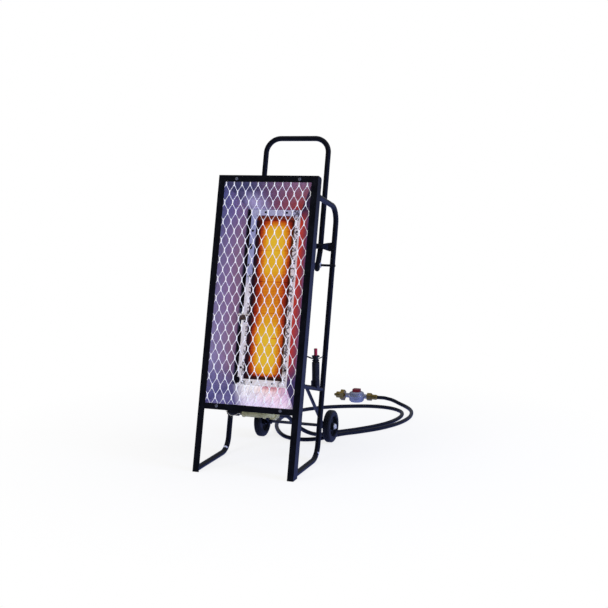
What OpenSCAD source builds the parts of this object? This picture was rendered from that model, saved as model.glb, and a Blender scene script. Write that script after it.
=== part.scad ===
// Portable radiant gas heater.
// An angle-iron front frame leans back on two bent side tubes, carries a sheet reflector with a
// ceramic tile burner behind an expanded-metal guard, and rolls on two wheels behind.
// Millimetres, +X right, +Y back, +Z up. The origin lies on the floor, under the middle of the heater.
// "Frame" coordinates are [x, depth behind the front face, distance up the rails].

/* [Frame] */
// Width over the two front rails
frame_w = 306; // [286:1:326]
// Length of a front rail, from the floor to the top corner
rail_len = 858; // [840:1:900]
// How far the frame leans back, in degrees
lean = 14.8; // [13:0.1:16]
// Width of a rail's front flange
rail_face = 19; // [17:0.5:22]
// Depth of a rail's side flange
rail_depth = 30; // [26:0.5:34]
// Thickness of the rail steel
rail_t = 2.5; // [2:0.1:3]
// Height of the lower cross rail's bottom edge up the rails
lower_rail_at = 180.5; // [170:0.5:190]
// Width of the lower cross rail's front flange
lower_face = 17.5; // [16:0.5:20]
// Depth of the flanges of the two cross rails
cross_depth = 25; // [20:0.5:28]
// Chamfer on the top back corner of a side flange
corner_cut = 6; // [3:0.5:9]

/* [Side tubes] */
// Outer diameter of the side tubes and the handle
tube_d = 16; // [14:0.5:18]
// Wall of the side tubes and the handle
tube_wall = 1.5; // [1.2:0.1:2]
// Depth of the rear uprights behind the front face
upright_depth = 214; // [205:1:225]
// Place of the top arm up the rails
arm_at = 806; // [780:1:820]
// Centreline radius of the bend at the floor
foot_bend = 50; // [40:1:60]
// Centreline radius of the bend at the top
top_bend = 48; // [40:1:60]
// Thickness of a crushed tube end
tab_t = 3; // [2.5:0.1:4]
// Height of a crushed tube end
tab_h = 24; // [22:0.5:26]
// Length of the flat part of a crushed tube end
tab_len = 22; // [18:0.5:24]
// Length over which a tube flattens
flare_len = 14; // [10:0.5:20]

/* [Handle] */
// Distance between the centrelines of the handle's legs
handle_w = 201; // [190:1:210]
// Place of the handle's top centreline up the rails
handle_top = 1020; // [990:1:1060]
// Centreline radius of the handle's corners
handle_bend = 45; // [35:1:55]
// Place of the crossbar that the legs lean on, up the rails
crossbar_at = 688; // [680:1:700]
// Place of the pivot rod up the rails
rod_at = 632; // [622:1:640]
// Diameter of the pivot rod
rod_d = 7; // [6:0.5:8]
// Length of the pivot rod that stands out beyond each upright
rod_nub = 5; // [3:0.5:8]
// Angle of the crank at the bottom of each leg, in degrees
crank_turn = 14; // [12:0.5:16]
// Centreline radius of that crank
crank_bend = 40; // [30:1:50]

/* [Wheels] */
// Outer diameter of a wheel
wheel_d = 100; // [90:1:110]
// Width of a tyre
tyre_w = 22; // [18:0.5:26]
// Distance between the middles of the two wheels
wheel_track = 227; // [215:1:235]
// Distance of the axle behind the rails' feet
axle_back = 434; // [420:1:450]
// Diameter of the axle
axle_d = 9.5; // [8:0.5:10]
// Diameter of the struts that carry the axle
strut_d = 10; // [8:0.5:11]
// Distance between the middles of the two strut eyes
strut_eye_gap = 178; // [170:1:182]

/* [Reflector and guard] */
// Thickness of the guard sheet
guard_t = 1.5; // [1:0.1:2]
// Width of one diamond of the guard
diamond_w = 25; // [24:0.5:30]
// Height of one diamond of the guard
diamond_h = 56; // [54:1:64]
// Width of one strand of the guard
strand_w = 1.4; // [1.2:0.1:2]
// Width of a knuckle, where two strands join
knuckle_w = 3.4; // [2.8:0.1:4.5]
// Length of a knuckle
knuckle_l = 7; // [5:0.5:11]
// Thickness of the reflector sheet, measured along the depth
sheet_t = 0.8; // [0.6:0.1:1.2]
// Depth of the reflector's inner edge behind the front face
reflector_depth = 88; // [80:1:95]
// Length of the hems that hold the burner
hem = 10; // [8:0.5:12]
// Open slot between the reflector and the left side of the burner
pilot_slot = 13; // [11:0.5:16]

/* [Burner] */
// Width of the burner's clamping frame
burner_w = 154; // [146:1:160]
// Room between the lower edge of the reflector's mouth and the burner's clamping frame
burner_low = 60.5; // [58:0.5:68]
// Room between the upper edge of the reflector's mouth and the burner's clamping frame
burner_high = 64.5; // [60:0.5:70]
// Width of the clamping frame round the window over the tiles
window_edge = 27; // [25:0.5:30]
// Thickness of a ceramic tile
tile_t = 13; // [11:0.5:14]
// Depth of the plenum behind the tiles
plenum_depth = 34; // [28:1:40]

/* [Gas train] */
// Depth of the gas valve's axis behind the front face
gas_depth = 130; // [128:1:134]
// Place of the gas valve's axis up the rails
gas_at = 177; // [172:1:180]
// Diameter of the gas valve's brass body
valve_d = 20; // [18:0.5:21]
// Length of the gas valve's brass body
valve_len = 73; // [70:1:78]
// Diameter of the igniter's body
igniter_d = 22; // [20:0.5:24]
// Height of the igniter's body
igniter_h = 88; // [80:1:96]
// Diameter of the igniter's red button
button_d = 9.8; // [9:0.1:10.5]
// Diameter of the gas hose
hose_d = 12.7; // [12:0.1:13]
// Diameter of the regulator's rim
regulator_d = 64; // [60:1:70]

/* [Hidden] */
$fn = 48;

// Clearances
run_fit = 0.06;
fixed_fit = 0.05;
gap = 0.3;
overrun = 1;
seam = 0.02;
sleeve = 1;
far = 3000;

// Frame values
half_w = frame_w / 2;
inner_w = half_w - rail_face;
wheel_r = wheel_d / 2;
foot_shift = -(axle_back + wheel_r) / 2;
tube_r = tube_d / 2;
tube_x = half_w - rail_t - tube_r;
arm_end = rail_depth + flare_len;

// Handle values
rod_r = rod_d / 2;
rod_depth = upright_depth - tube_r - rod_r;
bar_depth = upright_depth - 2 * tube_r;
leg_depth = bar_depth + 2 * tube_r + gap;
leg_end = 12;
washer_d = 15;
washer_t = 1.6;
bar_straight = 114;
plug_stem = 5;

// Wheel values
axle_r = axle_d / 2;
strut_r = strut_d / 2;
eye_r = 9;
eye_w = 13.4;
hub_w = 24;
hub_boss_r = 11;
rim_r = 34;
rim_t = 3;
rim_w = 19;
web_t = 5;
web_hole_r = 6;
web_hole_pcr = 21;
tyre_round = 6;
groove_w = 1.8;
groove_depth = 1.6;
cap_r = 8.5;
cap_t = 5;
cap_floor = 1.5;

// Side bars under the igniter and above the struts
side_bar_at = 265;
side_bar_d = 13;
strut_top_depth = 72;
igniter_depth = 155.5;

// Guard and reflector values
guard_inset = 0.5;
net_cover = 4;
diamond_shift = 8;
lip_at = rail_t + guard_t;
mouth_low = lower_rail_at + lower_face;
mouth_high = rail_len - rail_face;
burner_h = mouth_high - mouth_low - burner_low - burner_high;
burner_mid = mouth_low + burner_low + burner_h / 2;
hem_x = burner_w / 2;
screw_x = 97;
frame_screw_d = 5;
screw_head_d = 9;
screw_head_h = 2.4;
nut_w = 8;
nut_t = 3.5;

// Burner values
clamp_t = 1;
clamp_face = reflector_depth - clamp_t;
clamp_strip = 16;
lip_drop = 10.6;
skirt = 17;
tile_count = 5;
tile_gap = 0.5;
tile_edge = 11;
tile_w = burner_w - 2 * tile_edge;
window_w = burner_w - 2 * window_edge;
tile_face = clamp_face + lip_drop;
window_h = burner_h - 2 * window_edge;
tile_h = (window_h - (tile_count - 1) * tile_gap) / tile_count;
tray_t = 1.2;
tray_gap = 0.3;
gasket_t = 2;
step_in = 15;
ledge_at = tile_face + tile_t + gasket_t;
plenum_back = ledge_at + plenum_depth;
burner_screw_d = 3.4;
burner_head_d = 6.5;
burner_head_h = 1.8;
side_screw_share = [0.083, 0.351, 0.619, 0.889];
end_screw_share = 0.4286;

// Gas train values
valve_r = valve_d / 2;
valve_left = -68;
valve_right = valve_left + valve_len;
jet_x = -25;
mixer_r = 11;
bell_r = 17;
bell_h = 22;
mixer_t = 1.2;
mixer_foot = 214;
plate_at = 201;
plate_t = 1.6;
plate_w = 16;
bracket_leg_x = 24;
jet_r = 6;
jet_hex = 14;
housing_len = 26;
housing_r = 9.5;
neck_len = 12;
neck_r = 6;
plunger_r = 5;
button_len = 9;
button_travel = 5;
button_r = 8;
elbow_r = 8;
elbow_turn = 15;
elbow_x = valve_right + elbow_turn;
elbow_back = gas_depth + elbow_turn;
ferrule_r = 9;
ferrule_len = 22;
swivel_hex = 24;
swivel_len = 16;
hose_from_depth = elbow_back + swivel_len + ferrule_len;

// Igniter values
igniter_r = igniter_d / 2;
cup_wall = 3;
cup_h = 16;
cup_floor = 3;
cup_drop = 8;
neck_h = 18;
igniter_neck_r = 7.5;
button_r_red = button_d / 2;
button_up = 20;
button_in = 18;
red_travel = 8;
red_clear = 3;
nut_hex = 26;
nut_h = 5;
stay_r = 1.5;
cable_r = 2.2;
lead_r = 1.6;

// Hose values
hose_r = hose_d / 2;
hose_sides = 10;

// Regulator values: it lies on the floor behind the hose's loops and faces left
reg_y = 745;
reg_z = 20;
hose_to_x = 100;
reg_x = ferrule_len + swivel_len + 8 + regulator_d / 2;
reg_port_r = 8;
reg_base_r = 26;
reg_rim_t = 6;
reg_rim_z = 17;
reg_dome_r = 24;
reg_top = 36;
reg_cap_w = 26;
reg_cap_h = 9;
reg_screw_r = 2.2;
nipple_r = 5;
nipple_len = 44;
nut_af = 34;
nut_hex_len = 14;
nut_pin_r = 11.2;
nut_pin_len = 16;
nut_step = 4;

// Hose route on the floor, in round numbers: an inner and an outer loop behind the wheels, up to the regulator
HOSE_ROUTE = [
    [22, 60, 98], [28, 104, 66], [38, 150, 36], [50, 196, 14], [68, 238, 2], [98, 284, 0],
    [146, 336, 0], [192, 398, 0], [226, 470, 0], [238, 548, 0], [222, 616, 0], [172, 658, 0],
    [104, 664, 0], [36, 642, 0], [-34, 606, 0], [-96, 548, 0], [-130, 474, 0], [-134, 394, 0],
    [-116, 318, 0], [-82, 246, 0], [-42, 192, 0], [-4, 170, 0], [34, 169, 0], [70, 190, 0],
    [98, 230, 0], [124, 272, 0], [172, 322, 0], [220, 384, 0], [256, 464, 0], [268, 550, 0],
    [254, 630, 0], [224, 686, 0], [188, 720, 3], [156, 737, 10],
];

// Ignition cable, from the igniter's neck, behind the plenum, to the spark electrode, in frame coordinates
CABLE_ROUTE = [
    [114, 126, 356], [104, 128, 368], [92, 140, 382], [72, 153, 396],
    [40, 158, 412], [0, 159, 428], [-40, 158, 444], [-70, 155, 456],
];

// Thermocouple lead, from the probe down beside the plenum to the valve housing, in frame coordinates
LEAD_ROUTE = [
    [-86, 144, 442], [-90, 143, 415], [-93, 141, 345], [-94, 138, 275], [-95, 134, 225],
];

// A point given in frame coordinates, in the model's own coordinates
function on_frame(p) = [
    p.x,
    foot_shift + p.z * sin(lean) + p.y * cos(lean),
    p.z * cos(lean) - p.y * sin(lean),
];

// Catmull-Rom point between b and c
function spline(a, b, c, d, t) =
    0.5 * (2 * b + (c - a) * t + (2 * a - 5 * b + 4 * c - d) * t * t + (3 * b - a - 3 * c + d) * t * t * t);

// Points along a smooth curve through the route, with the given steps to each stretch
function smooth(route, steps) = [
    for (i = [0 : len(route) - 2], k = [0 : steps - 1])
        spline(
            i == 0 ? 2 * route[0] - route[1] : route[i - 1], route[i], route[i + 1],
            i == len(route) - 2 ? 2 * route[i + 1] - route[i] : route[i + 2], k / steps
        ),
    route[len(route) - 1],
];

function unit(v) = v / norm(v);
function heading(path, i) =
    unit(path[min(i + 1, len(path) - 1)] - path[max(i - 1, 0)]);
function run_length(path, i = 1) =
    i >= len(path) ? 0 : norm(path[i] - path[i - 1]) + run_length(path, i + 1);

// A round tube swept along a path that never stands upright
module swept(path, r, sides) {
    rings = [
        for (i = [0 : len(path) - 1])
            let (
                ahead = heading(path, i),
                side = unit(cross(ahead, [0, 0, 1])),
                over = cross(side, ahead)
            )
            for (k = [0 : sides - 1])
                path[i] + r * (sin(360 * k / sides) * side - cos(360 * k / sides) * over)
    ];
    skin = [
        for (i = [0 : len(path) - 2], k = [0 : sides - 1])
            let (a = i * sides + k, b = i * sides + (k + 1) % sides)
            each [[a, b, b + sides], [a, b + sides, a + sides]]
    ];
    last = (len(path) - 1) * sides;
    ends = [
        for (k = [1 : sides - 2])
            each [[0, k + 1, k], [last, last + k, last + k + 1]]
    ];
    polyhedron(points = rings, faces = concat(skin, ends), convexity = 6);
}

// Everything inside is given in frame coordinates
module leaned() {
    translate([0, foot_shift, 0]) rotate([-lean, 0, 0]) children();
}

// The space above the floor
module above_floor() {
    translate([-far / 2, -far / 2, 0]) cube(far);
}

// The space in front of the back of the rails' front flanges
module before_flange() {
    leaned() translate([-far / 2, rail_t - far, -far / 2]) cube(far);
}

// A flat outline in x and height, given a thickness towards the back
module plate(depth, t) {
    translate([0, depth + t, 0]) rotate([90, 0, 0]) linear_extrude(t) children();
}

// A box from its lowest corner to its highest
module block(low, high) {
    translate(low) cube(high - low);
}

// A block in x, depth and height that is centred across the heater
module across(half, depth_a, depth_b, low, high) {
    block([-half, depth_a, low], [half, depth_b, high]);
}

// A cylinder along X, along the depth or between two points
module along_x(x, r, length) {
    translate([x, 0, 0]) rotate([0, 90, 0]) cylinder(h = length, r = r);
}

module along_depth(r, length) {
    rotate([-90, 0, 0]) cylinder(h = length, r = r);
}

module rod_between(a, b, r) {
    v = b - a;
    translate(a) rotate([0, acos(v.z / norm(v)), atan2(v.y, v.x)]) cylinder(h = norm(v), r = r);
}

module hexagon(across_flats, length) {
    cylinder(h = length, r = across_flats / sqrt(3), $fn = 6);
}

// The wall of a tube, flat
module tube_ring(r, wall) {
    difference() {
        circle(r);
        circle(r - wall);
    }
}

// A bent tube that starts along +Z. Each step is [straight length, roll, bend radius, turn],
// and a bend turns from +Z towards +X after the roll. A sleeve inside the wall joins a bend to
// each straight, with a hairline seam outside it.
module bent_tube(steps, r, wall, i = 0) {
    if (i < len(steps)) {
        run = steps[i][0];
        bend = steps[i][2];
        turn = steps[i][3];
        start = i > 0 ? seam : 0;
        end = turn > 0 ? seam : 0;
        translate([0, 0, start]) linear_extrude(run - start - end) tube_ring(r, wall);
        translate([0, 0, run]) rotate([0, 0, steps[i][1]]) {
            if (turn > 0) {
                rotate([0, 0, 180]) rotate([90, 0, 0]) translate([-bend, 0, 0])
                    rotate_extrude(angle = turn) translate([bend, 0]) tube_ring(r, wall);
                inner_sleeve(r, wall);
            }
            translate([bend * (1 - cos(turn)), 0, bend * sin(turn)]) rotate([0, turn, 0]) {
                if (turn > 0) inner_sleeve(r, wall);
                bent_tube(steps, r, wall, i + 1);
            }
        }
    }
}

module inner_sleeve(r, wall) {
    translate([0, 0, -sleeve]) linear_extrude(2 * sleeve) tube_ring(r - wall / 4, wall / 2);
}

// The crushed end of a tube that runs along +Z: it flattens towards +Y, against what it is welded to
module crushed_end(r) {
    hull() {
        translate([0, 0, -tab_t / 4]) cylinder(h = tab_t / 2, r = r - fixed_fit * 4, $fn = 32);
        translate([-tab_h / 2, r - tab_t, flare_len - tab_t / 4]) cube([tab_h, tab_t, tab_t / 4]);
    }
    translate([-tab_h / 2, r - tab_t, flare_len]) cube([tab_h, tab_t, tab_len]);
}

// Left side of a mirrored pair
module left_side() {
    mirror([1, 0, 0]) children();
}

// Front frame

module rail() {
    intersection() {
        leaned() {
            plate(0, rail_t) polygon([
                [inner_w, -rail_face], [half_w, -rail_face], [half_w, rail_len], [inner_w, rail_len - rail_face],
            ]);
            translate([half_w - rail_t, 0, 0]) rotate([90, 0, 90]) linear_extrude(rail_t) polygon([
                [rail_t, -rail_face], [rail_depth, -rail_face], [rail_depth, rail_len - corner_cut],
                [rail_depth - corner_cut, rail_len], [rail_t, rail_len],
            ]);
        }
        above_floor();
    }
}

module rail_left() { color("#101216") left_side() rail(); }
module rail_right() { color("#101216") rail(); }

// Where the four frame screws stand, up the rails
function screw_heights() = [lower_rail_at + lower_face / 2 + rail_t / 2, rail_len - rail_face / 2 - rail_t / 2];

module frame_screw_holes() {
    for (side = [-1, 1], height = screw_heights())
        translate([side * screw_x, -overrun, height])
            along_depth(frame_screw_d / 2 + fixed_fit, 2 * overrun + lip_at + sheet_t);
}

module rail_top() {
    color("#101216") leaned() difference() {
        union() {
            plate(0, rail_t) polygon([
                [-half_w, rail_len], [half_w, rail_len], [inner_w, rail_len - rail_face], [-inner_w, rail_len - rail_face],
            ]);
            across(half_w - rail_t, rail_t, cross_depth, rail_len - rail_t, rail_len);
        }
        frame_screw_holes();
    }
}

module rail_bottom() {
    color("#101216") leaned() difference() {
        union() {
            across(inner_w, 0, rail_t, lower_rail_at, lower_rail_at + lower_face);
            across(half_w - rail_t, rail_t, cross_depth, lower_rail_at, lower_rail_at + rail_t);
        }
        frame_screw_holes();
    }
}

module frame_screws() {
    color("silver") leaned() for (side = [-1, 1], height = screw_heights())
        translate([side * screw_x, 0, height]) {
            translate([0, -screw_head_h, 0]) along_depth(screw_head_d / 2, screw_head_h);
            along_depth(frame_screw_d / 2, lip_at + sheet_t + nut_t);
        }
}

module frame_nuts() {
    color("silver") leaned() for (side = [-1, 1], height = screw_heights())
        translate([side * screw_x, lip_at + sheet_t, height]) rotate([-90, 0, 0]) difference() {
            hexagon(nut_w, nut_t);
            translate([0, 0, -overrun]) cylinder(h = nut_t + 2 * overrun, r = frame_screw_d / 2 + fixed_fit);
        }
}

// Side tubes, crossbar and handle

// Where the runner's centreline meets the upright's, up the rails and back from the feet
runner_meet_at = (tube_r + upright_depth * sin(lean)) / cos(lean);
runner_meet_y = runner_meet_at * sin(lean) + upright_depth * cos(lean);
foot_turn = 90 - lean;
foot_tangent = foot_bend * tan(foot_turn / 2);

module upright_space() {
    translate([tube_x, upright_depth, 0]) cylinder(h = arm_at, r = tube_r);
}

module side_tube() {
    difference() {
        translate([tube_x, foot_shift - tube_r, tube_r]) rotate([-90, 0, 0]) rotate([0, 0, -90])
            bent_tube([
                [tube_r + runner_meet_y - foot_tangent, 0, foot_bend, foot_turn],
                [arm_at - top_bend - runner_meet_at - foot_tangent, 0, top_bend, 90],
                [upright_depth - top_bend - arm_end, 0, 0, 0],
            ], tube_r, tube_wall);
        before_flange();
    }
    leaned() translate([tube_x, arm_end, arm_at]) rotate([90, 0, 0]) rotate([0, 0, -90]) crushed_end(tube_r);
}

module side_tube_left() { color("#101216") left_side() side_tube(); }
module side_tube_right() { color("#101216") side_tube(); }

module crossbar() {
    color("#101216") leaned() translate([0, bar_depth, crossbar_at]) {
        along_x(-bar_straight, tube_r, 2 * bar_straight);
        for (side = [0, 1])
            mirror([side, 0, 0]) translate([bar_straight, 0, 0]) rotate([0, 90, 0]) crushed_end(tube_r);
    }
}

module pivot_rod() {
    color("#15171b") leaned() translate([0, rod_depth, rod_at])
        along_x(-tube_x - tube_r - rod_nub, rod_r, 2 * (tube_x + tube_r + rod_nub));
}

// Retaining washers on both sides of each leg
module rod_washers() {
    color("silver") leaned() translate([0, rod_depth, rod_at]) for (side = [-1, 1], edge = [-1, 1])
        difference() {
            along_x(side * handle_w / 2 + edge * (tube_r + gap + washer_t / 2) - washer_t / 2, washer_d / 2, washer_t);
            along_x(-half_w, rod_r + fixed_fit, frame_w);
        }
}

// Length of the leg's slanting foot, from its end to the crank
crank_foot = leg_end + (leg_depth - rod_depth - crank_bend * (1 - cos(crank_turn))) / sin(crank_turn);
crank_rise = (crank_foot - leg_end) * cos(crank_turn) + crank_bend * sin(crank_turn);

module on_leg_foot() {
    translate([handle_w / 2, rod_depth, rod_at]) rotate([-crank_turn, 0, 0]) translate([0, 0, -leg_end]) children();
}

module handle() {
    leg = handle_top - handle_bend - rod_at - crank_rise;
    color("#101216") leaned() difference() {
        on_leg_foot() rotate([0, 0, -90]) bent_tube([
            [crank_foot, 0, crank_bend, crank_turn],
            [leg, -90, handle_bend, 90],
            [handle_w - 2 * handle_bend, 0, handle_bend, 90],
            [leg, 90, crank_bend, crank_turn],
            [crank_foot, 0, 0, 0],
        ], tube_r, tube_wall);
        translate([0, rod_depth, rod_at]) along_x(-half_w, rod_r + run_fit, frame_w);
    }
}

module handle_plug() {
    on_leg_foot() {
        cylinder(h = plug_stem, r = tube_r - tube_wall - fixed_fit);
        intersection() {
            sphere(r = tube_r);
            translate([-tube_r, -tube_r, -tube_r]) cube([2 * tube_r, 2 * tube_r, tube_r]);
        }
    }
}

module handle_plugs() {
    color("#0c0c0e") leaned() {
        handle_plug();
        left_side() handle_plug();
    }
}

// Side bars, struts, axle and wheels

module side_bar() {
    r = side_bar_d / 2;
    leaned() {
        difference() {
            translate([tube_x, arm_end, side_bar_at]) along_depth(r, upright_depth - arm_end);
            upright_space();
        }
        translate([half_w - rail_t - r, arm_end, side_bar_at]) rotate([90, 0, 0]) rotate([0, 0, -90])
            crushed_end(r);
    }
}

module side_bar_left() { color("#101216") left_side() side_bar(); }
module side_bar_right() { color("#101216") side_bar(); }

axle_y = foot_shift + axle_back;

module strut() {
    eye = [strut_eye_gap / 2, axle_y, wheel_r];
    difference() {
        union() {
            rod_between(on_frame([tube_x, strut_top_depth, side_bar_at]), eye, strut_r);
            translate([0, axle_y, wheel_r]) along_x(eye.x - eye_w / 2, eye_r, eye_w);
        }
        leaned() translate([tube_x, 0, side_bar_at]) along_depth(side_bar_d / 2, upright_depth);
        leaned() translate([-far / 2, -far / 2, side_bar_at]) cube(far);
        translate([0, axle_y, wheel_r]) along_x(0, axle_r + fixed_fit, half_w);
    }
}

module strut_left() { color("#101216") left_side() strut(); }
module strut_right() { color("#101216") strut(); }

wheel_x = wheel_track / 2;
axle_half = wheel_x + hub_w / 2 + gap + cap_t - cap_floor - fixed_fit;

module on_axle() {
    translate([0, axle_y, wheel_r]) children();
}

module axle() {
    color("#9a9da2") on_axle() along_x(-axle_half, axle_r, 2 * axle_half);
}

module axle_spacers() {
    start = strut_eye_gap / 2 + eye_w / 2;
    color("#2a2c30") on_axle() for (side = [0, 1])
        mirror([side, 0, 0]) difference() {
            along_x(start, hub_boss_r - rim_t, wheel_x - hub_w / 2 - gap - start);
            along_x(0, axle_r + fixed_fit, half_w);
        }
}

module axle_caps() {
    start = wheel_x + hub_w / 2 + gap;
    color("silver") on_axle() for (side = [0, 1])
        mirror([side, 0, 0]) difference() {
            translate([start, 0, 0]) rotate([0, 90, 0]) rotate_extrude() polygon([
                [0, 0], [cap_r, 0], [cap_r, cap_t / 2], [cap_r - cap_floor, cap_t], [0, cap_t],
            ]);
            along_x(0, axle_r + fixed_fit, start + cap_t - cap_floor);
        }
}

// Tyre outline: round shoulders and grooves that run round the tread
module tyre_profile() {
    difference() {
        translate([rim_r + fixed_fit, 0]) union() {
            translate([0, -tyre_w / 2]) square([wheel_r - rim_r - fixed_fit - tyre_round, tyre_w]);
            translate([0, tyre_round - tyre_w / 2]) square([wheel_r - rim_r - fixed_fit, tyre_w - 2 * tyre_round]);
            for (side = [-1, 1])
                translate([wheel_r - rim_r - fixed_fit - tyre_round, side * (tyre_w / 2 - tyre_round)]) circle(tyre_round);
        }
        for (k = [-1 : 1])
            translate([wheel_r - groove_depth, k * tyre_w / 5 - groove_w / 2]) square([2 * groove_depth, groove_w]);
    }
}

module tyre() {
    on_axle() translate([wheel_x, 0, 0]) rotate([0, 90, 0]) rotate_extrude($fn = 96) tyre_profile();
}

module hub() {
    on_axle() translate([wheel_x, 0, 0]) rotate([0, 90, 0]) difference() {
        union() {
            translate([0, 0, -hub_w / 2]) cylinder(h = hub_w, r = hub_boss_r);
            translate([0, 0, -web_t / 2]) cylinder(h = web_t, r = rim_r - rim_t / 2);
            difference() {
                translate([0, 0, -rim_w / 2]) cylinder(h = rim_w, r = rim_r);
                translate([0, 0, -rim_w]) cylinder(h = 2 * rim_w, r = rim_r - rim_t);
            }
        }
        translate([0, 0, -hub_w]) cylinder(h = 2 * hub_w, r = axle_r + run_fit);
        for (k = [0 : 5])
            rotate(60 * k) translate([web_hole_pcr, 0, -web_t]) cylinder(h = 2 * web_t, r = web_hole_r);
    }
}

module tyre_left() { color("#141414") left_side() tyre(); }
module tyre_right() { color("#141414") tyre(); }
module hub_left() { color("#1d1d20") left_side() hub(); }
module hub_right() { color("#1d1d20") hub(); }

// Guard of expanded metal: slender hexagonal openings in staggered rows, longer than they are wide

cell_x = diamond_w / 2;
cell_z = diamond_h / 2;
strand_slope = (cell_z - knuckle_l) / cell_x;
strand_cut = strand_w / 2 * sqrt(1 + strand_slope * strand_slope);

module diamond() {
    side = cell_x - knuckle_w / 2;
    shoulder = knuckle_l / 2 + strand_slope * knuckle_w / 2 - strand_cut;
    tip = cell_z - knuckle_l / 2 - strand_cut;
    polygon([[-side, -shoulder], [-side, shoulder], [0, tip], [side, shoulder], [side, -shoulder], [0, -tip]]);
}

module guard() {
    net_half = inner_w + net_cover;
    net_low = lower_rail_at + lower_face - net_cover;
    net_high = rail_len - rail_face + net_cover;
    columns = ceil(net_half / cell_x);
    rows = ceil((net_high - net_low) / cell_z);
    color("#e8eaee") leaned() plate(rail_t, guard_t) difference() {
        translate([-half_w + rail_t + guard_inset, lower_rail_at + rail_t + guard_inset])
            square([
                frame_w - 2 * rail_t - 2 * guard_inset,
                rail_len - lower_rail_at - 2 * rail_t - 2 * guard_inset,
            ]);
        intersection() {
            translate([-net_half, net_low]) square([2 * net_half, net_high - net_low]);
            for (column = [-columns : columns], row = [0 : rows])
                if ((column + row) % 2 != 0)
                    translate([column * cell_x + diamond_shift, net_high - row * cell_z]) diamond();
        }
        for (side = [-1, 1], height = screw_heights())
            translate([side * screw_x, height]) circle(frame_screw_d / 2 + fixed_fit);
    }
}

// Reflector: four folded sheets, mitred at the corners. Each fold is a rectangle
// [left, right, bottom, top] at a depth, and a sheet joins one side of each.

mouth = [-inner_w, inner_w, mouth_low, mouth_high];
lip = [
    -half_w + rail_t + guard_inset, half_w - rail_t - guard_inset,
    lower_rail_at + rail_t + guard_inset, rail_len - rail_t - guard_inset,
];
seat = [-hem_x - pilot_slot, hem_x + gap, burner_mid - burner_h / 2 - sheet_t, burner_mid + burner_h / 2 + sheet_t];
inside = [-1, 1, -1, 1] * -sheet_t;

FOLDS = [
    [lip, lip_at], [mouth, lip_at], [seat, reflector_depth], [seat, reflector_depth + hem],
    [seat - inside, reflector_depth + hem], [seat - inside, reflector_depth + sheet_t],
    [mouth - inside, lip_at + sheet_t], [lip, lip_at + sheet_t],
];

// The two ends of side k of a fold: left, right, bottom, top
function side_ends(box, k) =
    k < 2 ? [[box[k], box[2]], [box[k], box[3]]] : [[box[0], box[k]], [box[1], box[k]]];

module folded_side(folds, k) {
    n = len(folds);
    points = [
        for (end = [0, 1], fold = folds)
            let (p = side_ends(fold[0], k)[end]) [p.x, fold[1], p.y]
    ];
    turned = k == 1 || k == 2;
    walls = [for (i = [0 : n - 1]) [i, (i + 1) % n, n + (i + 1) % n, n + i]];
    strips = [
        for (i = [0 : n / 2 - 2])
            each [[i, n - 2 - i, i + 1], [i, n - 1 - i, n - 2 - i]]
    ];
    caps = concat(strips, [for (f = strips) [n + f[0], n + f[2], n + f[1]]]);
    faces = concat(walls, caps);
    polyhedron(points = points, faces = turned ? [for (f = faces) [for (i = [len(f) - 1 : -1 : 0]) f[i]]] : faces);
}

// All four sides of the folds as one ring
module folded_ring(folds) {
    n = len(folds);
    points = [
        for (fold = folds, corner = [[0, 2], [0, 3], [1, 3], [1, 2]])
            [fold[0][corner[0]], fold[1], fold[0][corner[1]]]
    ];
    faces = [
        for (i = [0 : n - 1], c = [0 : 3])
            let (j = (i + 1) % n, d = (c + 1) % 4)
            [4 * i + c, 4 * j + c, 4 * j + d, 4 * i + d]
    ];
    polyhedron(points = points, faces = faces, convexity = 6);
}

module reflector_sheet(k) {
    leaned() difference() {
        folded_side(FOLDS, k);
        if (k > 1) frame_screw_holes();
    }
}

module reflector_left() { color("#8f86bb") reflector_sheet(0); }
module reflector_right() { color("#b5484f") reflector_sheet(1); }
module reflector_bottom() { color("#e9dff0") reflector_sheet(2); }
module reflector_top() { color("#7d6a9e") reflector_sheet(3); }

// Burner: clamping frame, tiles on a gasket, stepped plenum

function around_burner(half_x, half_z) = [-half_x, half_x, burner_mid - half_z, burner_mid + half_z];

clamp_outer = around_burner(burner_w / 2, burner_h / 2);
clamp_inner = around_burner(burner_w / 2 - clamp_strip, burner_h / 2 - clamp_strip);
clamp_lip = around_burner(window_w / 2, window_h / 2);
thin = [1, -1, 1, -1] * clamp_t;

CLAMP_FOLDS = [
    [clamp_outer, clamp_face + skirt], [clamp_outer, clamp_face], [clamp_inner, clamp_face],
    [clamp_lip, tile_face - fixed_fit - clamp_t / 2], [clamp_lip, tile_face - fixed_fit],
    [clamp_inner - thin / 2, clamp_face + clamp_t], [clamp_outer + thin, clamp_face + clamp_t],
    [clamp_outer + thin, clamp_face + skirt],
];

// Where the clamping screws stand on the burner's face
function burner_screw_places() = concat(
    [
        for (side = [-1, 1], share = side_screw_share)
            [side * (burner_w - clamp_strip) / 2, burner_mid + (share - 0.5) * (burner_h - clamp_strip)]
    ],
    [for (side = [-1, 1], end = [-1, 1]) [side * end_screw_share * burner_w / 2, burner_mid + end * (burner_h - clamp_strip) / 2]]
);

module at_burner_screws(depth) {
    for (place = burner_screw_places())
        translate([place.x, depth, place.y]) children();
}

module burner_frame() {
    color("#d6d6e2") leaned() difference() {
        folded_ring(CLAMP_FOLDS);
        at_burner_screws(clamp_face - overrun)
            along_depth(burner_screw_d / 2 + fixed_fit, clamp_t + 2 * overrun);
    }
}

module burner_screws() {
    color("#6d6d75") leaned() at_burner_screws(clamp_face) {
        translate([0, -burner_head_h, 0]) along_depth(burner_head_d / 2, burner_head_h);
        along_depth(burner_screw_d / 2, tile_face - clamp_face - fixed_fit);
    }
}

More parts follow.
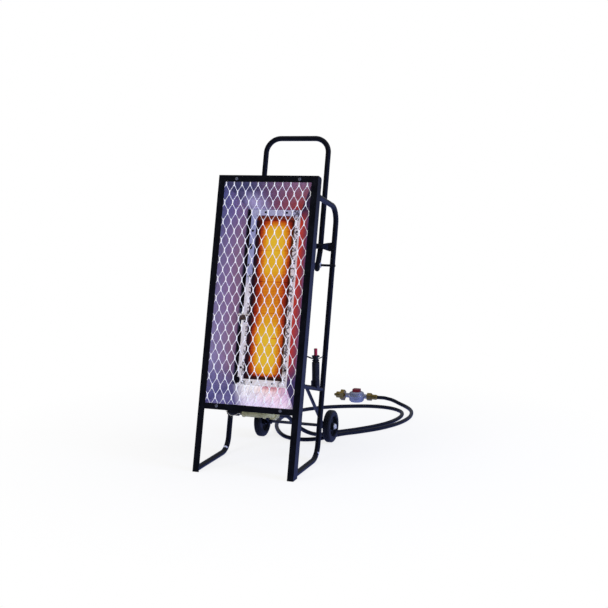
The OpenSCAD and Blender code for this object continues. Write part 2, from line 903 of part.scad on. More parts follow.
module burner_tiles() {
    color("orange") leaned() for (k = [0 : tile_count - 1])
        across(
            tile_w / 2, tile_face, tile_face + tile_t,
            burner_mid - window_h / 2 + k * (tile_h + tile_gap),
            burner_mid - window_h / 2 + k * (tile_h + tile_gap) + tile_h
        );
}

tray_x = burner_w / 2 - clamp_t - tray_gap;
tray_z = burner_h / 2 - clamp_t - tray_gap;

module burner_gasket() {
    edge = step_in + tray_t;
    color("#e6e2d8") leaned() difference() {
        across(
            tray_x - tray_t - tray_gap, ledge_at - gasket_t, ledge_at,
            burner_mid - tray_z + tray_t + tray_gap, burner_mid + tray_z - tray_t - tray_gap
        );
        across(
            tray_x - edge, ledge_at - 2 * gasket_t, ledge_at + gasket_t,
            burner_mid - tray_z + edge, burner_mid + tray_z - edge
        );
    }
}

module tray_block(inset, from, to) {
    across(tray_x - inset, from, to, burner_mid - tray_z + inset, burner_mid + tray_z - inset);
}

module burner_box() {
    color("#77797d") leaned() difference() {
        union() {
            tray_block(0, tile_face, ledge_at + tray_t);
            tray_block(step_in, ledge_at, plenum_back);
        }
        tray_block(tray_t, tile_face - overrun, ledge_at);
        tray_block(step_in + tray_t, ledge_at - overrun, plenum_back - tray_t);
        translate([jet_x, gas_depth, mixer_foot]) cylinder(h = burner_mid - mixer_foot, r = mixer_r + fixed_fit);
    }
}

// Gas train

plenum_foot = burner_mid - tray_z + step_in;

module mixing_tube() {
    color("#8a8c90") leaned() translate([jet_x, gas_depth, mixer_foot]) rotate_extrude() polygon([
        [bell_r, 0], [mixer_r, bell_h], [mixer_r, plenum_foot + bell_h - mixer_foot],
        [mixer_r - mixer_t, plenum_foot + bell_h - mixer_foot], [mixer_r - mixer_t, bell_h], [bell_r - mixer_t, 0],
    ]);
}

module jet_bracket() {
    color("#8a8c90") leaned() translate([jet_x, gas_depth, 0]) difference() {
        union() {
            for (side = [0, 1])
                mirror([side, 0, 0]) block(
                    [bracket_leg_x - plate_t, -plate_w / 2, plate_at], [bracket_leg_x, plate_w / 2, plenum_foot]
                );
            across(bracket_leg_x, -plate_w / 2, plate_w / 2, plate_at, plate_at + plate_t);
        }
        cylinder(h = plenum_foot, r = jet_r + fixed_fit);
    }
}

// Turned brass jet: a shank through the bracket, a hexagon under it and a nose towards the mixing tube
module gas_jet() {
    color("#c9a24a") leaned() translate([jet_x, gas_depth, 0]) difference() {
        union() {
            translate([0, 0, gas_at + valve_r]) cylinder(h = plate_at - gas_at - valve_r - nut_t, r = jet_r);
            translate([0, 0, plate_at - nut_t]) hexagon(jet_hex, nut_t);
            translate([0, 0, plate_at]) cylinder(h = nut_t, r = jet_r);
            translate([0, 0, plate_at + nut_t]) cylinder(h = mixer_foot - plate_at - nut_t, r = jet_r / 2);
        }
        translate([0, 0, plate_at]) cylinder(h = mixer_foot, r = jet_r / 6);
    }
}

module on_gas_axis() {
    leaned() translate([0, gas_depth, gas_at]) children();
}

// Brass valve body, turned and with a hexagon at each end, flat where the jet stands on it
module gas_valve() {
    color("#c9a24a") on_gas_axis() {
        difference() {
            union() {
                along_x(valve_left, valve_r, valve_len - swivel_len);
                along_x(valve_right - swivel_len, valve_r - rail_t / 2, swivel_len);
                for (x = [valve_left, valve_right - swivel_len / 2])
                    translate([x, 0, 0]) rotate([0, 90, 0]) hexagon(valve_d, swivel_len / 2);
            }
            translate([jet_x, 0, 0]) cylinder(h = far, r = jet_r + fixed_fit);
        }
        translate([jet_x, 0, 0]) cylinder(h = valve_r, r = jet_r);
    }
}

housing_x = valve_left - neck_len - housing_len;

module valve_housing() {
    color("#15161a") on_gas_axis() difference() {
        union() {
            along_x(valve_left - neck_len, neck_r, neck_len);
            along_x(housing_x, housing_r, housing_len);
        }
        along_x(housing_x - overrun, plunger_r + gap, button_len + button_travel + overrun);
    }
}

module safety_button() {
    color("#0c0c0e") on_gas_axis() {
        along_x(housing_x - button_travel - gap - button_len / 2, button_r, button_len / 2);
        along_x(housing_x - button_travel - gap, plunger_r, button_len + button_travel);
    }
}

module inlet_elbow() {
    color("#c9a24a") on_gas_axis() {
        translate([valve_right, 0, 0]) rotate([0, 90, 0]) rotate([0, 0, 90]) translate([0, 0, 0])
            rotate([0, 0, 180]) rotate([90, 0, 0]) translate([-elbow_turn, 0, 0])
                rotate_extrude(angle = 90) translate([elbow_turn, 0]) circle(elbow_r);
    }
}

// A hose end along +Z: hexagonal swivel nut, then the ferrule that the hose enters
module hose_end() {
    hexagon(swivel_hex, swivel_len);
    translate([0, 0, swivel_len]) cylinder(h = ferrule_len - 2 * rail_t, r = ferrule_r);
    translate([0, 0, swivel_len + ferrule_len - 2 * rail_t]) cylinder(h = 2 * rail_t, r1 = ferrule_r, r2 = hose_r);
}

module hose_end_heater() {
    color("#c9a24a") leaned() translate([elbow_x, elbow_back, gas_at]) rotate([-90, 0, 0]) hose_end();
}

// Pilot bracket, spark electrode and thermocouple in the slot left of the burner

pilot_x = -hem_x - pilot_slot / 2;
pilot_drop = 61;
pilot_at = burner_mid - pilot_drop;
pilot_pitch = 12;
pilot_plate_t = 1.5;
pilot_tip = 34;
electrode_r = 3;
probe_r = 2.4;
tip_r = 0.9;
pilot_reach = 12;
pilot_tail = 42;
pilot_front = clamp_face - pilot_reach;
pilot_back = clamp_face + pilot_tail;

module pilot_bracket() {
    color("#b9b4a8") leaned() difference() {
        block(
            [pilot_x - electrode_r - tip_r, clamp_face - pilot_plate_t, pilot_at - 0.75 * pilot_pitch],
            [clamp_outer[0] + clamp_strip, clamp_face, pilot_at + 0.75 * pilot_pitch]
        );
        for (side = [-1, 1])
            translate([pilot_x, clamp_face - 2 * pilot_plate_t, pilot_at + side * pilot_pitch / 2])
                along_depth((side > 0 ? electrode_r : probe_r) + fixed_fit, 3 * pilot_plate_t);
    }
}

// A straight stem through the bracket with a thin tip that reaches over the tiles
module pilot_stem(height, stem_r) {
    translate([pilot_x, pilot_front, height]) {
        along_depth(stem_r, pilot_back - pilot_front);
        translate([0, tip_r, 0]) along_x(0, tip_r, pilot_tip);
    }
}

module spark_electrode() { color("#f2efe6") leaned() pilot_stem(pilot_at + pilot_pitch / 2, electrode_r); }
module thermocouple() { color("#b08b4a") leaned() pilot_stem(pilot_at - pilot_pitch / 2, probe_r); }

module thermocouple_lead() {
    height = pilot_at - pilot_pitch / 2;
    route = concat(
        [[pilot_x, pilot_back + 3 * lead_r, height]], LEAD_ROUTE,
        [[housing_x + housing_len / 2, gas_depth, gas_at + housing_r + 6 * lead_r]]
    );
    path = concat(
        [on_frame([pilot_x, pilot_back + fixed_fit, height])],
        smooth([for (p = route) on_frame(p)], 3),
        [on_frame([housing_x + housing_len / 2, gas_depth, gas_at + housing_r + fixed_fit])]
    );
    color("#d8d4c8") swept(path, lead_r, 8);
}

// Igniter: it stands upright in a cup on the right side bar

igniter_foot = on_frame([tube_x, igniter_depth, side_bar_at]);
igniter_z = igniter_foot.z + side_bar_d / 2;

module on_igniter(height) {
    translate([tube_x, igniter_foot.y, igniter_z + height]) children();
}

module igniter_cup() {
    color("#101216") difference() {
        on_igniter(-cup_drop) cylinder(h = cup_drop + cup_h, r = igniter_r + cup_wall);
        on_igniter(cup_floor) cylinder(h = far, r = igniter_r + fixed_fit);
        leaned() translate([tube_x, 0, side_bar_at]) along_depth(side_bar_d / 2, upright_depth);
        leaned() translate([-far / 2, -far / 2, side_bar_at - far]) cube(far);
        translate([half_w - rail_t, -far / 2, 0]) cube(far);
    }
}

igniter_top = cup_floor + igniter_h;

module igniter_body() {
    color("#0e0f12") on_igniter(cup_floor) difference() {
        rotate_extrude() polygon([
            [0, 0], [igniter_r, 0], [igniter_r, igniter_h - neck_h - rail_t],
            [igniter_r - rail_t, igniter_h - neck_h], [igniter_neck_r, igniter_h - neck_h],
            [igniter_neck_r, igniter_h], [0, igniter_h],
        ]);
        translate([0, 0, igniter_h - button_in - red_travel - red_clear])
            cylinder(h = far, r = button_r_red + gap);
    }
}

module igniter_nut() {
    color("#0e0f12") on_igniter(igniter_top - nut_h) difference() {
        hexagon(nut_hex - nut_h, nut_h - overrun);
        translate([0, 0, -overrun]) cylinder(h = nut_h + overrun, r = igniter_neck_r + fixed_fit);
    }
}

module igniter_button() {
    color("#b3202a") on_igniter(igniter_top - button_in)
        rotate_extrude() polygon([
            [0, 0], [button_r_red, 0], [button_r_red, button_in + button_up - overrun],
            [button_r_red - overrun, button_in + button_up], [0, button_in + button_up],
        ]);
}

stay_at = igniter_top - neck_h + 2 * stay_r;

// Wire stay: a loop round the igniter's neck and a straight arm to the upright
module igniter_stay() {
    loop_r = igniter_neck_r + stay_r + fixed_fit;
    color("#15161a") difference() {
        on_igniter(stay_at) {
            rotate_extrude() translate([loop_r, 0]) circle(stay_r);
            translate([0, loop_r, 0]) along_depth(stay_r, upright_depth / 2);
        }
        leaned() translate([tube_x, upright_depth, 0]) {
            cylinder(h = arm_at, r = tube_r);
            translate([-far / 2, 0, 0]) cube(far);
        }
    }
}

module ignition_cable() {
    from = [tube_x - igniter_neck_r - fixed_fit, igniter_foot.y, igniter_z + igniter_top - nut_h - 2 * cable_r];
    height = pilot_at + pilot_pitch / 2;
    route = concat(
        [from - [2 * cable_r, 0, 0]],
        [for (p = concat(CABLE_ROUTE, [[pilot_x, pilot_back + 3 * cable_r, height]])) on_frame(p)]
    );
    path = concat([from], smooth(route, 3), [on_frame([pilot_x, pilot_back + fixed_fit, height])]);
    color("#101012") swept(path, cable_r, 8);
}

// Hose and regulator

hose_from = on_frame([elbow_x, hose_from_depth + fixed_fit, gas_at]);
hose_ahead = on_frame([elbow_x, hose_from_depth + 2 * hose_d, gas_at]);
hose_to = [hose_to_x + fixed_fit, reg_y, reg_z];
hose_before = [hose_to_x + 2 * hose_d, reg_y, reg_z];
hose_bends = smooth(
    concat([hose_ahead], [for (p = HOSE_ROUTE) [p.x, p.y, p.z + hose_r]], [hose_before]), 2
);
hose_path = concat([hose_from], [for (p = hose_bends) [p.x, p.y, max(p.z, hose_r)]], [hose_to]);

// Distance of a point from the stretch between two others
function point_gap(p, a, b) =
    let (t = max(0, min(1, (p - a) * (b - a) / ((b - a) * (b - a)))))
    norm(p - a - t * (b - a));

module hose() {
    apart = [
        for (i = [0 : len(hose_path) - 1], j = [i + 4 : 1 : len(hose_path) - 2])
            point_gap(hose_path[i], hose_path[j], hose_path[j + 1])
    ];
    echo(hose_length = run_length(hose_path), least_gap = min(apart) - hose_d);
    color("#141418") swept(hose_path, hose_r, hose_sides);
}

// From the end of the hose on, everything is given along its own line
module laid_out() {
    translate([hose_to_x, reg_y, 0]) rotate([0, 0, 180]) children();
}

module on_regulator() {
    laid_out() translate([reg_x, 0, 0]) children();
}

module hose_end_regulator() {
    color("#c9a24a") laid_out() translate([swivel_len + ferrule_len, 0, reg_z]) rotate([0, -90, 0]) hose_end();
}

// Die-cast regulator: a round base, a clamped rim and a dome, with a port on each side
module regulator_body() {
    color("#c3c6cc") on_regulator() {
        difference() {
            rotate_extrude() polygon([
                [0, 0], [reg_base_r - 2 * rail_t, 0], [reg_base_r, 2 * rail_t], [reg_base_r, reg_rim_z],
                [regulator_d / 2, reg_rim_z], [regulator_d / 2, reg_rim_z + reg_rim_t],
                [reg_dome_r + rail_t, reg_rim_z + reg_rim_t], [reg_dome_r, reg_top - 2 * rail_t],
                [reg_dome_r - 2 * rail_t, reg_top], [0, reg_top],
            ]);
            for (k = [0 : 3])
                rotate(45 + 90 * k) translate([reg_dome_r + rail_t + reg_screw_r, 0, reg_rim_z - overrun])
                    cylinder(h = reg_rim_t + 2 * overrun, r = reg_screw_r / 2 + fixed_fit);
        }
        translate([0, 0, reg_z]) along_x(-(reg_x - swivel_len - ferrule_len), reg_port_r, reg_base_r);
        translate([0, 0, reg_z]) along_x(reg_base_r - reg_port_r, reg_port_r, regulator_d / 2 + 2 * reg_port_r - reg_base_r);
    }
}

module regulator_cap() {
    color("#8e1c22") on_regulator() difference() {
        translate([0, 0, reg_top]) intersection() {
            translate([-reg_cap_w / 2, -reg_cap_w / 2, 0]) cube([reg_cap_w, reg_cap_w, reg_cap_h]);
            cylinder(h = reg_cap_h, r = reg_cap_w * 0.62);
        }
    }
}

module regulator_screws() {
    color("#9a9da2") on_regulator() for (k = [0 : 3])
        rotate(45 + 90 * k) translate([reg_dome_r + rail_t + reg_screw_r, 0, 0]) {
            translate([0, 0, reg_rim_z + reg_rim_t]) cylinder(h = reg_screw_r, r = reg_screw_r);
            translate([0, 0, reg_rim_z - rail_t]) cylinder(h = reg_rim_t + rail_t, r = reg_screw_r / 2);
        }
}

nipple_x = reg_x + regulator_d / 2 + reg_port_r;
nut_x = nipple_x + nut_step;

module on_inlet(x) {
    laid_out() translate([x, 0, reg_z]) rotate([0, 90, 0]) children();
}

// Brass nipple: a collar against the regulator and a rounded nose that stands out of the nut
module inlet_nipple() {
    color("#c9a24a") on_inlet(nipple_x) {
        cylinder(h = nipple_len - nipple_r, r = nipple_r);
        translate([0, 0, nipple_len - nipple_r]) sphere(r = nipple_r);
    }
}

module inlet_nut() {
    color("#c9a24a") on_inlet(nut_x) difference() {
        union() {
            hexagon(nut_af, nut_hex_len);
            cylinder(h = nut_hex_len + nut_pin_len, r = nut_pin_r);
        }
        translate([0, 0, -overrun]) cylinder(h = far, r = nipple_r + gap);
    }
}

rail_left();
rail_right();
rail_top();
rail_bottom();
side_tube_left();
side_tube_right();
crossbar();
pivot_rod();
rod_washers();
handle();
handle_plugs();
side_bar_left();
side_bar_right();
strut_left();
strut_right();
axle();
axle_spacers();
axle_caps();
tyre_left();
hub_left();
tyre_right();
hub_right();
guard();
reflector_left();
reflector_right();
reflector_top();
reflector_bottom();
frame_screws();
frame_nuts();
burner_frame();
burner_tiles();
burner_gasket();
burner_box();
burner_screws();
mixing_tube();
jet_bracket();
gas_jet();
gas_valve();
valve_housing();
safety_button();
inlet_elbow();
pilot_bracket();
spark_electrode();
thermocouple();
thermocouple_lead();
ignition_cable();
igniter_cup();
igniter_body();
igniter_nut();
igniter_button();
igniter_stay();
hose();
hose_end_heater();
hose_end_regulator();
regulator_body();
regulator_cap();
regulator_screws();
inlet_nipple();
inlet_nut();
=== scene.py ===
"""Looks of a portable radiant gas heater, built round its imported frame.

Lengths are in metres. "Frame" coordinates are (across, depth behind the front face, along the rails), in
millimetres; on_frame() turns them into the model's own coordinates.
"""

import logging
import math
from collections.abc import Callable, Mapping, Sequence
from dataclasses import dataclass, field
from enum import Enum

import bmesh
import bpy
from mathutils import Matrix, Vector, noise


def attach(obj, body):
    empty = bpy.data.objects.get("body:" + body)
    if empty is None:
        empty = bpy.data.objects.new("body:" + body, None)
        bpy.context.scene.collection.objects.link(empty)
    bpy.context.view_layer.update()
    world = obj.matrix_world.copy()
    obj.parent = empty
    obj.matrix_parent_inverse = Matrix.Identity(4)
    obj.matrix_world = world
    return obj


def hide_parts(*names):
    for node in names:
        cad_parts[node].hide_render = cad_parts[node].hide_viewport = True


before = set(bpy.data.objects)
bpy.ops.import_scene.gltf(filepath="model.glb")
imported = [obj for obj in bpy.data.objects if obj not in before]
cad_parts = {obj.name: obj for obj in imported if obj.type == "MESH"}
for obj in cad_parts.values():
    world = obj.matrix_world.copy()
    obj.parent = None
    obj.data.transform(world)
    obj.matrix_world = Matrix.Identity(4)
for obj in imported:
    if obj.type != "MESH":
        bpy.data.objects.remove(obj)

log = logging.getLogger("radiant_heater")

MM = 0.001
LEAN = math.radians(14.8)
FOOT_SHIFT = -242.0
UP_THE_RAILS = Vector((0.0, math.sin(LEAN), math.cos(LEAN)))
TO_THE_BACK = Vector((0.0, math.cos(LEAN), -math.sin(LEAN)))
ACROSS = Vector((1.0, 0.0, 0.0))
SHARP_ANGLE = math.radians(38)

Colour = tuple[float, float, float, float]
Socket = bpy.types.NodeSocket
Value = float | str | Sequence[float] | Socket
Stops = Sequence[tuple[float, str | Colour]]
Pair = tuple[float, float]
Triple = tuple[float, float, float]


def on_frame(x: float, depth: float, along: float) -> Vector:
    """Turn a place in frame coordinates into the model's own.

    Args:
        x: millimetres to the right of the middle.
        depth: millimetres behind the front face of the rails.
        along: millimetres up the rails from their feet.

    Returns:
        The place in metres.
    """
    foot = Vector((x, FOOT_SHIFT, 0.0))
    return (foot + TO_THE_BACK * depth + UP_THE_RAILS * along) * MM


def tint(code: str) -> Colour:
    """Turn a web colour such as "#8f86bb" into scene-linear red, green, blue and alpha."""
    levels = [int(code[i:i + 2], 16) / 255 for i in (1, 3, 5)]
    linear = [v / 12.92 if v <= 0.04045 else ((v + 0.055) / 1.055) ** 2.4 for v in levels]
    return (linear[0], linear[1], linear[2], 1.0)


class Graph:
    """Adds nodes to a shader tree and joins them. Colours may be given as web colours."""

    def __init__(self, tree: bpy.types.NodeTree) -> None:
        """Keep the tree that is worked on."""
        self.tree = tree

    @classmethod
    def of(cls, owner: bpy.types.Material | bpy.types.World) -> "Graph":
        """Return the emptied graph of a material or a world."""
        owner.use_nodes = True
        owner.node_tree.nodes.clear()
        return cls(owner.node_tree)

    def feed(self, socket: Socket, value: Value) -> None:
        """Link a socket into another one, or set its constant value."""
        if isinstance(value, Socket):
            self.tree.links.new(value, socket)
        else:
            socket.default_value = tint(value) if isinstance(value, str) else value

    def add(self, kind: str, values: Mapping[str | int, Value] | None = None, **settings: object) -> bpy.types.Node:
        """Add one node.

        Args:
            kind: the node's type name.
            values: what goes into its inputs, by name or number.
            settings: attributes of the node itself.

        Returns:
            The new node.
        """
        node = self.tree.nodes.new(kind)
        for key, setting in settings.items():
            setattr(node, key, setting)
        for key, value in (values or {}).items():
            self.feed(node.inputs[key], value)
        return node

    def calc(self, operation: str, *values: Value, clamp: bool = False) -> Socket:
        """Return the result of a Math node."""
        return self.add("ShaderNodeMath", dict(enumerate(values)), operation=operation, use_clamp=clamp).outputs[0]

    def product(self, first: Value, *others: Value) -> Socket:
        """Return the product of two or more values."""
        for other in others:
            first = self.calc("MULTIPLY", first, other)
        return first

    def vector(self, operation: str, first: Value, second: Value) -> bpy.types.Node:
        """Return a Vector Math node."""
        return self.add("ShaderNodeVectorMath", {0: first, 1: second}, operation=operation)

    def away(self, value: Value, middle: float) -> Socket:
        """Return how far a value is from a middle one."""
        return self.calc("ABSOLUTE", self.calc("SUBTRACT", value, middle))

    def ramp(self, factor: Value, stops: Stops, ease: bool = False) -> Socket:
        """Turn a value into a colour.

        Args:
            factor: the value, from 0 to 1.
            stops: places and their colours, in order.
            ease: whether the colours melt into each other softly.

        Returns:
            The colour socket.
        """
        node = self.add("ShaderNodeValToRGB", {0: factor})
        node.color_ramp.interpolation = "EASE" if ease else "LINEAR"
        spots = node.color_ramp.elements
        while len(spots) < len(stops):
            spots.new(0.5)
        for spot, (place, _) in zip(spots, stops):
            spot.position = place
        for spot, (_, colour) in zip(spots, stops):
            spot.color = tint(colour) if isinstance(colour, str) else colour
        return node.outputs[0]

    def level(self, factor: Value, stops: Sequence[Pair], ease: bool = False) -> Socket:
        """Turn a value into another one by a curve of straight or eased stretches."""
        return self.ramp(factor, [(place, (v, v, v, 1.0)) for place, v in stops], ease)

    def span(self, value: Value, low: float, high: float) -> Socket:
        """Return 0 at low, 1 at high and a straight line between them."""
        return self.add("ShaderNodeMapRange", {0: value, 1: low, 2: high}, clamp=True).outputs[0]

    def mix(self, factor: Value, first: Value, second: Value, blend: str = "MIX") -> Socket:
        """Return the mix of two colours."""
        node = self.add("ShaderNodeMix", data_type="RGBA", blend_type=blend)
        for key, value in ((0, factor), (6, first), (7, second)):
            self.feed(node.inputs[key], value)
        return node.outputs[2]

    def spot(self) -> Socket:
        """Return object coordinates."""
        return self.add("ShaderNodeTexCoord").outputs["Object"]

    def noise(self, scale: Value, detail: float = 3.0, rough: float = 0.55, place: Value | None = None) -> Socket:
        """Return a noise value from 0 to 1."""
        where = self.spot() if place is None else place
        values = {"Vector": where, "Scale": scale, "Detail": detail, "Roughness": rough}
        return self.add("ShaderNodeTexNoise", values).outputs[0]

    def wobble(self, scale: float, detail: float, size: float) -> Socket:
        """Return noise of this size around 0."""
        return self.calc("MULTIPLY_ADD", self.noise(scale, detail), size, -size / 2)


class Effect(Enum):
    """The node groups that several materials share."""

    PLACE = "Place on the frame"
    PATCHES = "Patches and dust"
    GRAIN = "Drawn grain"
    SPECKLE = "Fine speckle"
    HEAT = "Heat tint"


Sockets = Mapping[str, Socket]
FLOAT = "NodeSocketFloat"
COLOUR = "NodeSocketColor"
VECTOR = "NodeSocketVector"
PLACES = ("Across", "Depth", "Along")
PATCH_INPUTS = ("Colour", "Patch colour", "Amount", "Scale", "Roughness", "Rougher by")


class Effects:
    """Builds each shared node group once and places it in materials."""

    def __init__(self) -> None:
        """Build all the groups."""
        self.trees: dict[Effect, bpy.types.NodeTree] = {}
        grey = (0.5, 0.5, 0.5, 1.0)
        starts = zip(PATCH_INPUTS, (COLOUR, COLOUR, FLOAT, FLOAT, FLOAT, FLOAT), (grey, grey, 0.4, 20.0, 0.4, 0.1))
        self._group(Effect.PLACE, self._place, (), {name: FLOAT for name in PLACES})
        self._group(Effect.PATCHES, self._patches, tuple(starts), {"Colour": COLOUR, "Roughness": FLOAT})
        self._group(Effect.GRAIN, self._grain, (
            ("Stretch", VECTOR, (1.0, 1.0, 1.0)), ("Fineness", FLOAT, 300.0),
        ), {"Height": FLOAT, "Mask": FLOAT})
        self._group(Effect.SPECKLE, self._speckle, (("Fineness", FLOAT, 900.0),), {"Height": FLOAT})
        self._group(Effect.HEAT, self._heat, (
            ("Colour", COLOUR, grey), ("Heat", FLOAT, 0.0), ("Amount", FLOAT, 0.6),
        ), {"Colour": COLOUR})

    def _group(self, effect: Effect, maker: Callable[[Graph, Sockets], Mapping[str, Value]],
               takes: Sequence[tuple[str, str, object]], gives: Mapping[str, str]) -> None:
        """Build one node group.

        Args:
            effect: which group it is.
            maker: adds its nodes, and returns what goes to each output.
            takes: name, kind and starting value of each input.
            gives: name and kind of each output.
        """
        tree = self.trees[effect] = bpy.data.node_groups.new(effect.value, "ShaderNodeTree")
        for name, kind, start in takes:
            tree.interface.new_socket(name=name, in_out="INPUT", socket_type=kind).default_value = start
        for name, kind in gives.items():
            tree.interface.new_socket(name=name, in_out="OUTPUT", socket_type=kind)
        graph = Graph(tree)
        graph.add("NodeGroupOutput", maker(graph, graph.add("NodeGroupInput").outputs))

    @staticmethod
    def _place(g: Graph, _: Sockets) -> Mapping[str, Value]:
        """Places across, behind and along the leaning frame, in metres."""
        shift = FOOT_SHIFT * MM
        turned = g.add("ShaderNodeMapping", {
            "Vector": g.spot(),
            "Rotation": (LEAN, 0.0, 0.0),
            "Location": (0.0, -shift * math.cos(LEAN), -shift * math.sin(LEAN)),
        })
        return dict(zip(PLACES, g.add("ShaderNodeSeparateXYZ", {0: turned.outputs[0]}).outputs))

    @staticmethod
    def _patches(g: Graph, given: Sockets) -> Mapping[str, Value]:
        """Soft blotches of a second colour, with a little less gloss in them."""
        mask = g.product(g.span(g.noise(given["Scale"], 5.0, 0.62), 0.42, 0.66), given["Amount"])
        rougher = g.product(mask, given["Rougher by"])
        return {
            "Colour": g.mix(mask, given["Colour"], given["Patch colour"]),
            "Roughness": g.calc("ADD", given["Roughness"], rougher),
        }

    @staticmethod
    def _grain(g: Graph, given: Sockets) -> Mapping[str, Value]:
        """Long thin scratches, as rolling or drawing leaves them."""
        stretched = g.vector("MULTIPLY", g.spot(), given["Stretch"])
        lines = g.noise(given["Fineness"], 2.0, 0.7, stretched.outputs[0])
        return {"Height": lines, "Mask": g.span(lines, 0.35, 0.65)}

    @staticmethod
    def _speckle(g: Graph, given: Sockets) -> Mapping[str, Value]:
        """Small even grains, as on cast metal, moulded plastic or paint."""
        grains = g.add("ShaderNodeTexVoronoi", {"Vector": g.spot(), "Scale": given["Fineness"]})
        half = g.product(grains.outputs["Distance"], 0.5)
        return {"Height": g.calc("ADD", half, g.noise(given["Fineness"], 2.0, 0.5))}

    @staticmethod
    def _heat(g: Graph, given: Sockets) -> Mapping[str, Value]:
        """Straw, brown, violet and blue bands of heated steel, by a heat from 0 to 1."""
        bands = g.ramp(g.calc("ADD", given["Heat"], g.wobble(34.0, 4.0, 0.3), clamp=True), (
            (0.0, "#ffffff"), (0.3, "#f4e6c4"), (0.48, "#c79b66"), (0.62, "#8a5a6e"), (0.78, "#5d64a0"),
            (1.0, "#8fa6b8"),
        ))
        return {"Colour": g.mix(given["Amount"], given["Colour"], bands, "MULTIPLY")}

    def put(self, g: Graph, effect: Effect, values: Mapping[str, Value] | None = None) -> Sockets:
        """Place a group in a material.

        Args:
            g: the material's graph.
            effect: which group.
            values: what goes into its inputs.

        Returns:
            The group's outputs by name.
        """
        return dict(g.add("ShaderNodeGroup", values, node_tree=self.trees[effect]).outputs.items())

    def place(self, g: Graph) -> tuple[Socket, Socket, Socket]:
        """Return the places across, behind and along the frame."""
        found = self.put(g, Effect.PLACE)
        return found["Across"], found["Depth"], found["Along"]

    def patches(self, g: Graph, *values: Value) -> tuple[Socket, Socket]:
        """Return the colour and roughness of a blotchy surface, from values in the order of PATCH_INPUTS."""
        found = self.put(g, Effect.PATCHES, dict(zip(PATCH_INPUTS, values)))
        return found["Colour"], found["Roughness"]


EFFECTS = Effects()


@dataclass
class Shade:
    """What a finish hands to its Principled shader."""

    colour: Value
    roughness: Value = 0.5
    metallic: float = 0.0
    height: Value | None = None
    bump: float = 0.1
    bump_distance: float = 0.0002
    rounding: float = 0.0
    coat: float = 0.0
    coat_roughness: float = 0.1
    specular: float = 0.5
    glow: Value | None = None
    glow_strength: float = 1.0


@dataclass(frozen=True)
class Finish:
    """A finish: its name, and how its shader is fed."""

    name: str

    def shade(self, g: Graph) -> Shade:
        """Build the finish's nodes and return what feeds the shader."""
        raise NotImplementedError

    def material(self) -> bpy.types.Material:
        """Return the finish's material, built on first use."""
        made = bpy.data.materials.get(self.name)
        if made is not None:
            return made
        made = bpy.data.materials.new(self.name)
        g = Graph.of(made)
        shade = self.shade(g)
        shader = g.add("ShaderNodeBsdfPrincipled", {
            "Base Color": shade.colour, "Roughness": shade.roughness, "Metallic": shade.metallic,
            "Specular IOR Level": shade.specular, "Coat Weight": shade.coat, "Coat Roughness": shade.coat_roughness,
        })
        if shade.glow is not None:
            g.feed(shader.inputs["Emission Color"], shade.glow)
            g.feed(shader.inputs["Emission Strength"], shade.glow_strength)
        normal: Socket | None = None
        if shade.rounding > 0:
            normal = g.add("ShaderNodeBevel", {"Radius": shade.rounding}, samples=4).outputs[0]
        if shade.height is not None:
            bump = g.add("ShaderNodeBump", {
                "Strength": shade.bump, "Distance": shade.bump_distance, "Height": shade.height,
            })
            if normal is not None:
                g.feed(bump.inputs["Normal"], normal)
            normal = bump.outputs[0]
        if normal is not None:
            g.feed(shader.inputs["Normal"], normal)
        g.add("ShaderNodeOutputMaterial", {"Surface": shader.outputs[0]})
        return made


@dataclass(frozen=True)
class Enamel(Finish):
    """Sprayed enamel: an even coat with faint orange peel and a little dust."""

    base: str = "#05060c"
    dust: str = "#0f1118"
    gloss: float = 0.3
    amount: float = 0.45

    def shade(self, g: Graph) -> Shade:
        """Dusty paint over soft ripples."""
        colour, roughness = EFFECTS.patches(g, self.base, self.dust, self.amount, 38.0, self.gloss, 0.25)
        peel = EFFECTS.put(g, Effect.SPECKLE, {"Fineness": 420.0})
        return Shade(
            colour, roughness, height=peel["Height"], bump=0.18, rounding=0.0006, coat=0.06, coat_roughness=0.18,
            specular=0.32,
        )


@dataclass(frozen=True)
class HighlightedEnamel(Enamel):
    """Enamel with small bright painted highlights where the foot tubes bend, given by depth, along and size in metres.
    """

    highlight_spots: tuple[Triple, ...] = ()

    def shade(self, g: Graph) -> Shade:
        """Enamel with bright ragged painted highlight spots."""
        shade = super().shade(g)
        _, depth, along = EFFECTS.place(g)
        flat = g.add("ShaderNodeCombineXYZ", {0: depth, 1: along}).outputs[0]
        ragged = g.wobble(300.0, 3.0, 0.006)
        # Painted highlights: bright spots on the bends of the foot tubes.
        for deep, up, size in self.highlight_spots:
            off = g.vector("DISTANCE", flat, (deep, up, 0.0)).outputs["Value"]
            painted_highlight = g.span(g.calc("ADD", off, ragged), size, size * 0.8)
            shade.colour = g.mix(painted_highlight, shade.colour, "#c9cce0")
        return shade


@dataclass(frozen=True)
class Plated(Finish):
    """Bare or plated metal with drawn grain and a few dull patches."""

    base: str
    patch: str
    gloss: float = 0.28
    grain: Triple = (1.0, 1.0, 0.08)
    fineness: float = 420.0
    amount: float = 0.35
    metallic: float = 1.0
    rounding: float = 0.0004

    def shade(self, g: Graph) -> Shade:
        """Grain in both the height and the gloss."""
        colour, dull = EFFECTS.patches(g, self.base, self.patch, self.amount, 60.0, self.gloss, 0.3)
        lines = EFFECTS.put(g, Effect.GRAIN, {"Stretch": self.grain, "Fineness": self.fineness})
        rough = g.calc("MULTIPLY_ADD", lines["Mask"], 0.08, dull)
        return Shade(colour, rough, self.metallic, lines["Height"], bump=0.22, rounding=self.rounding)


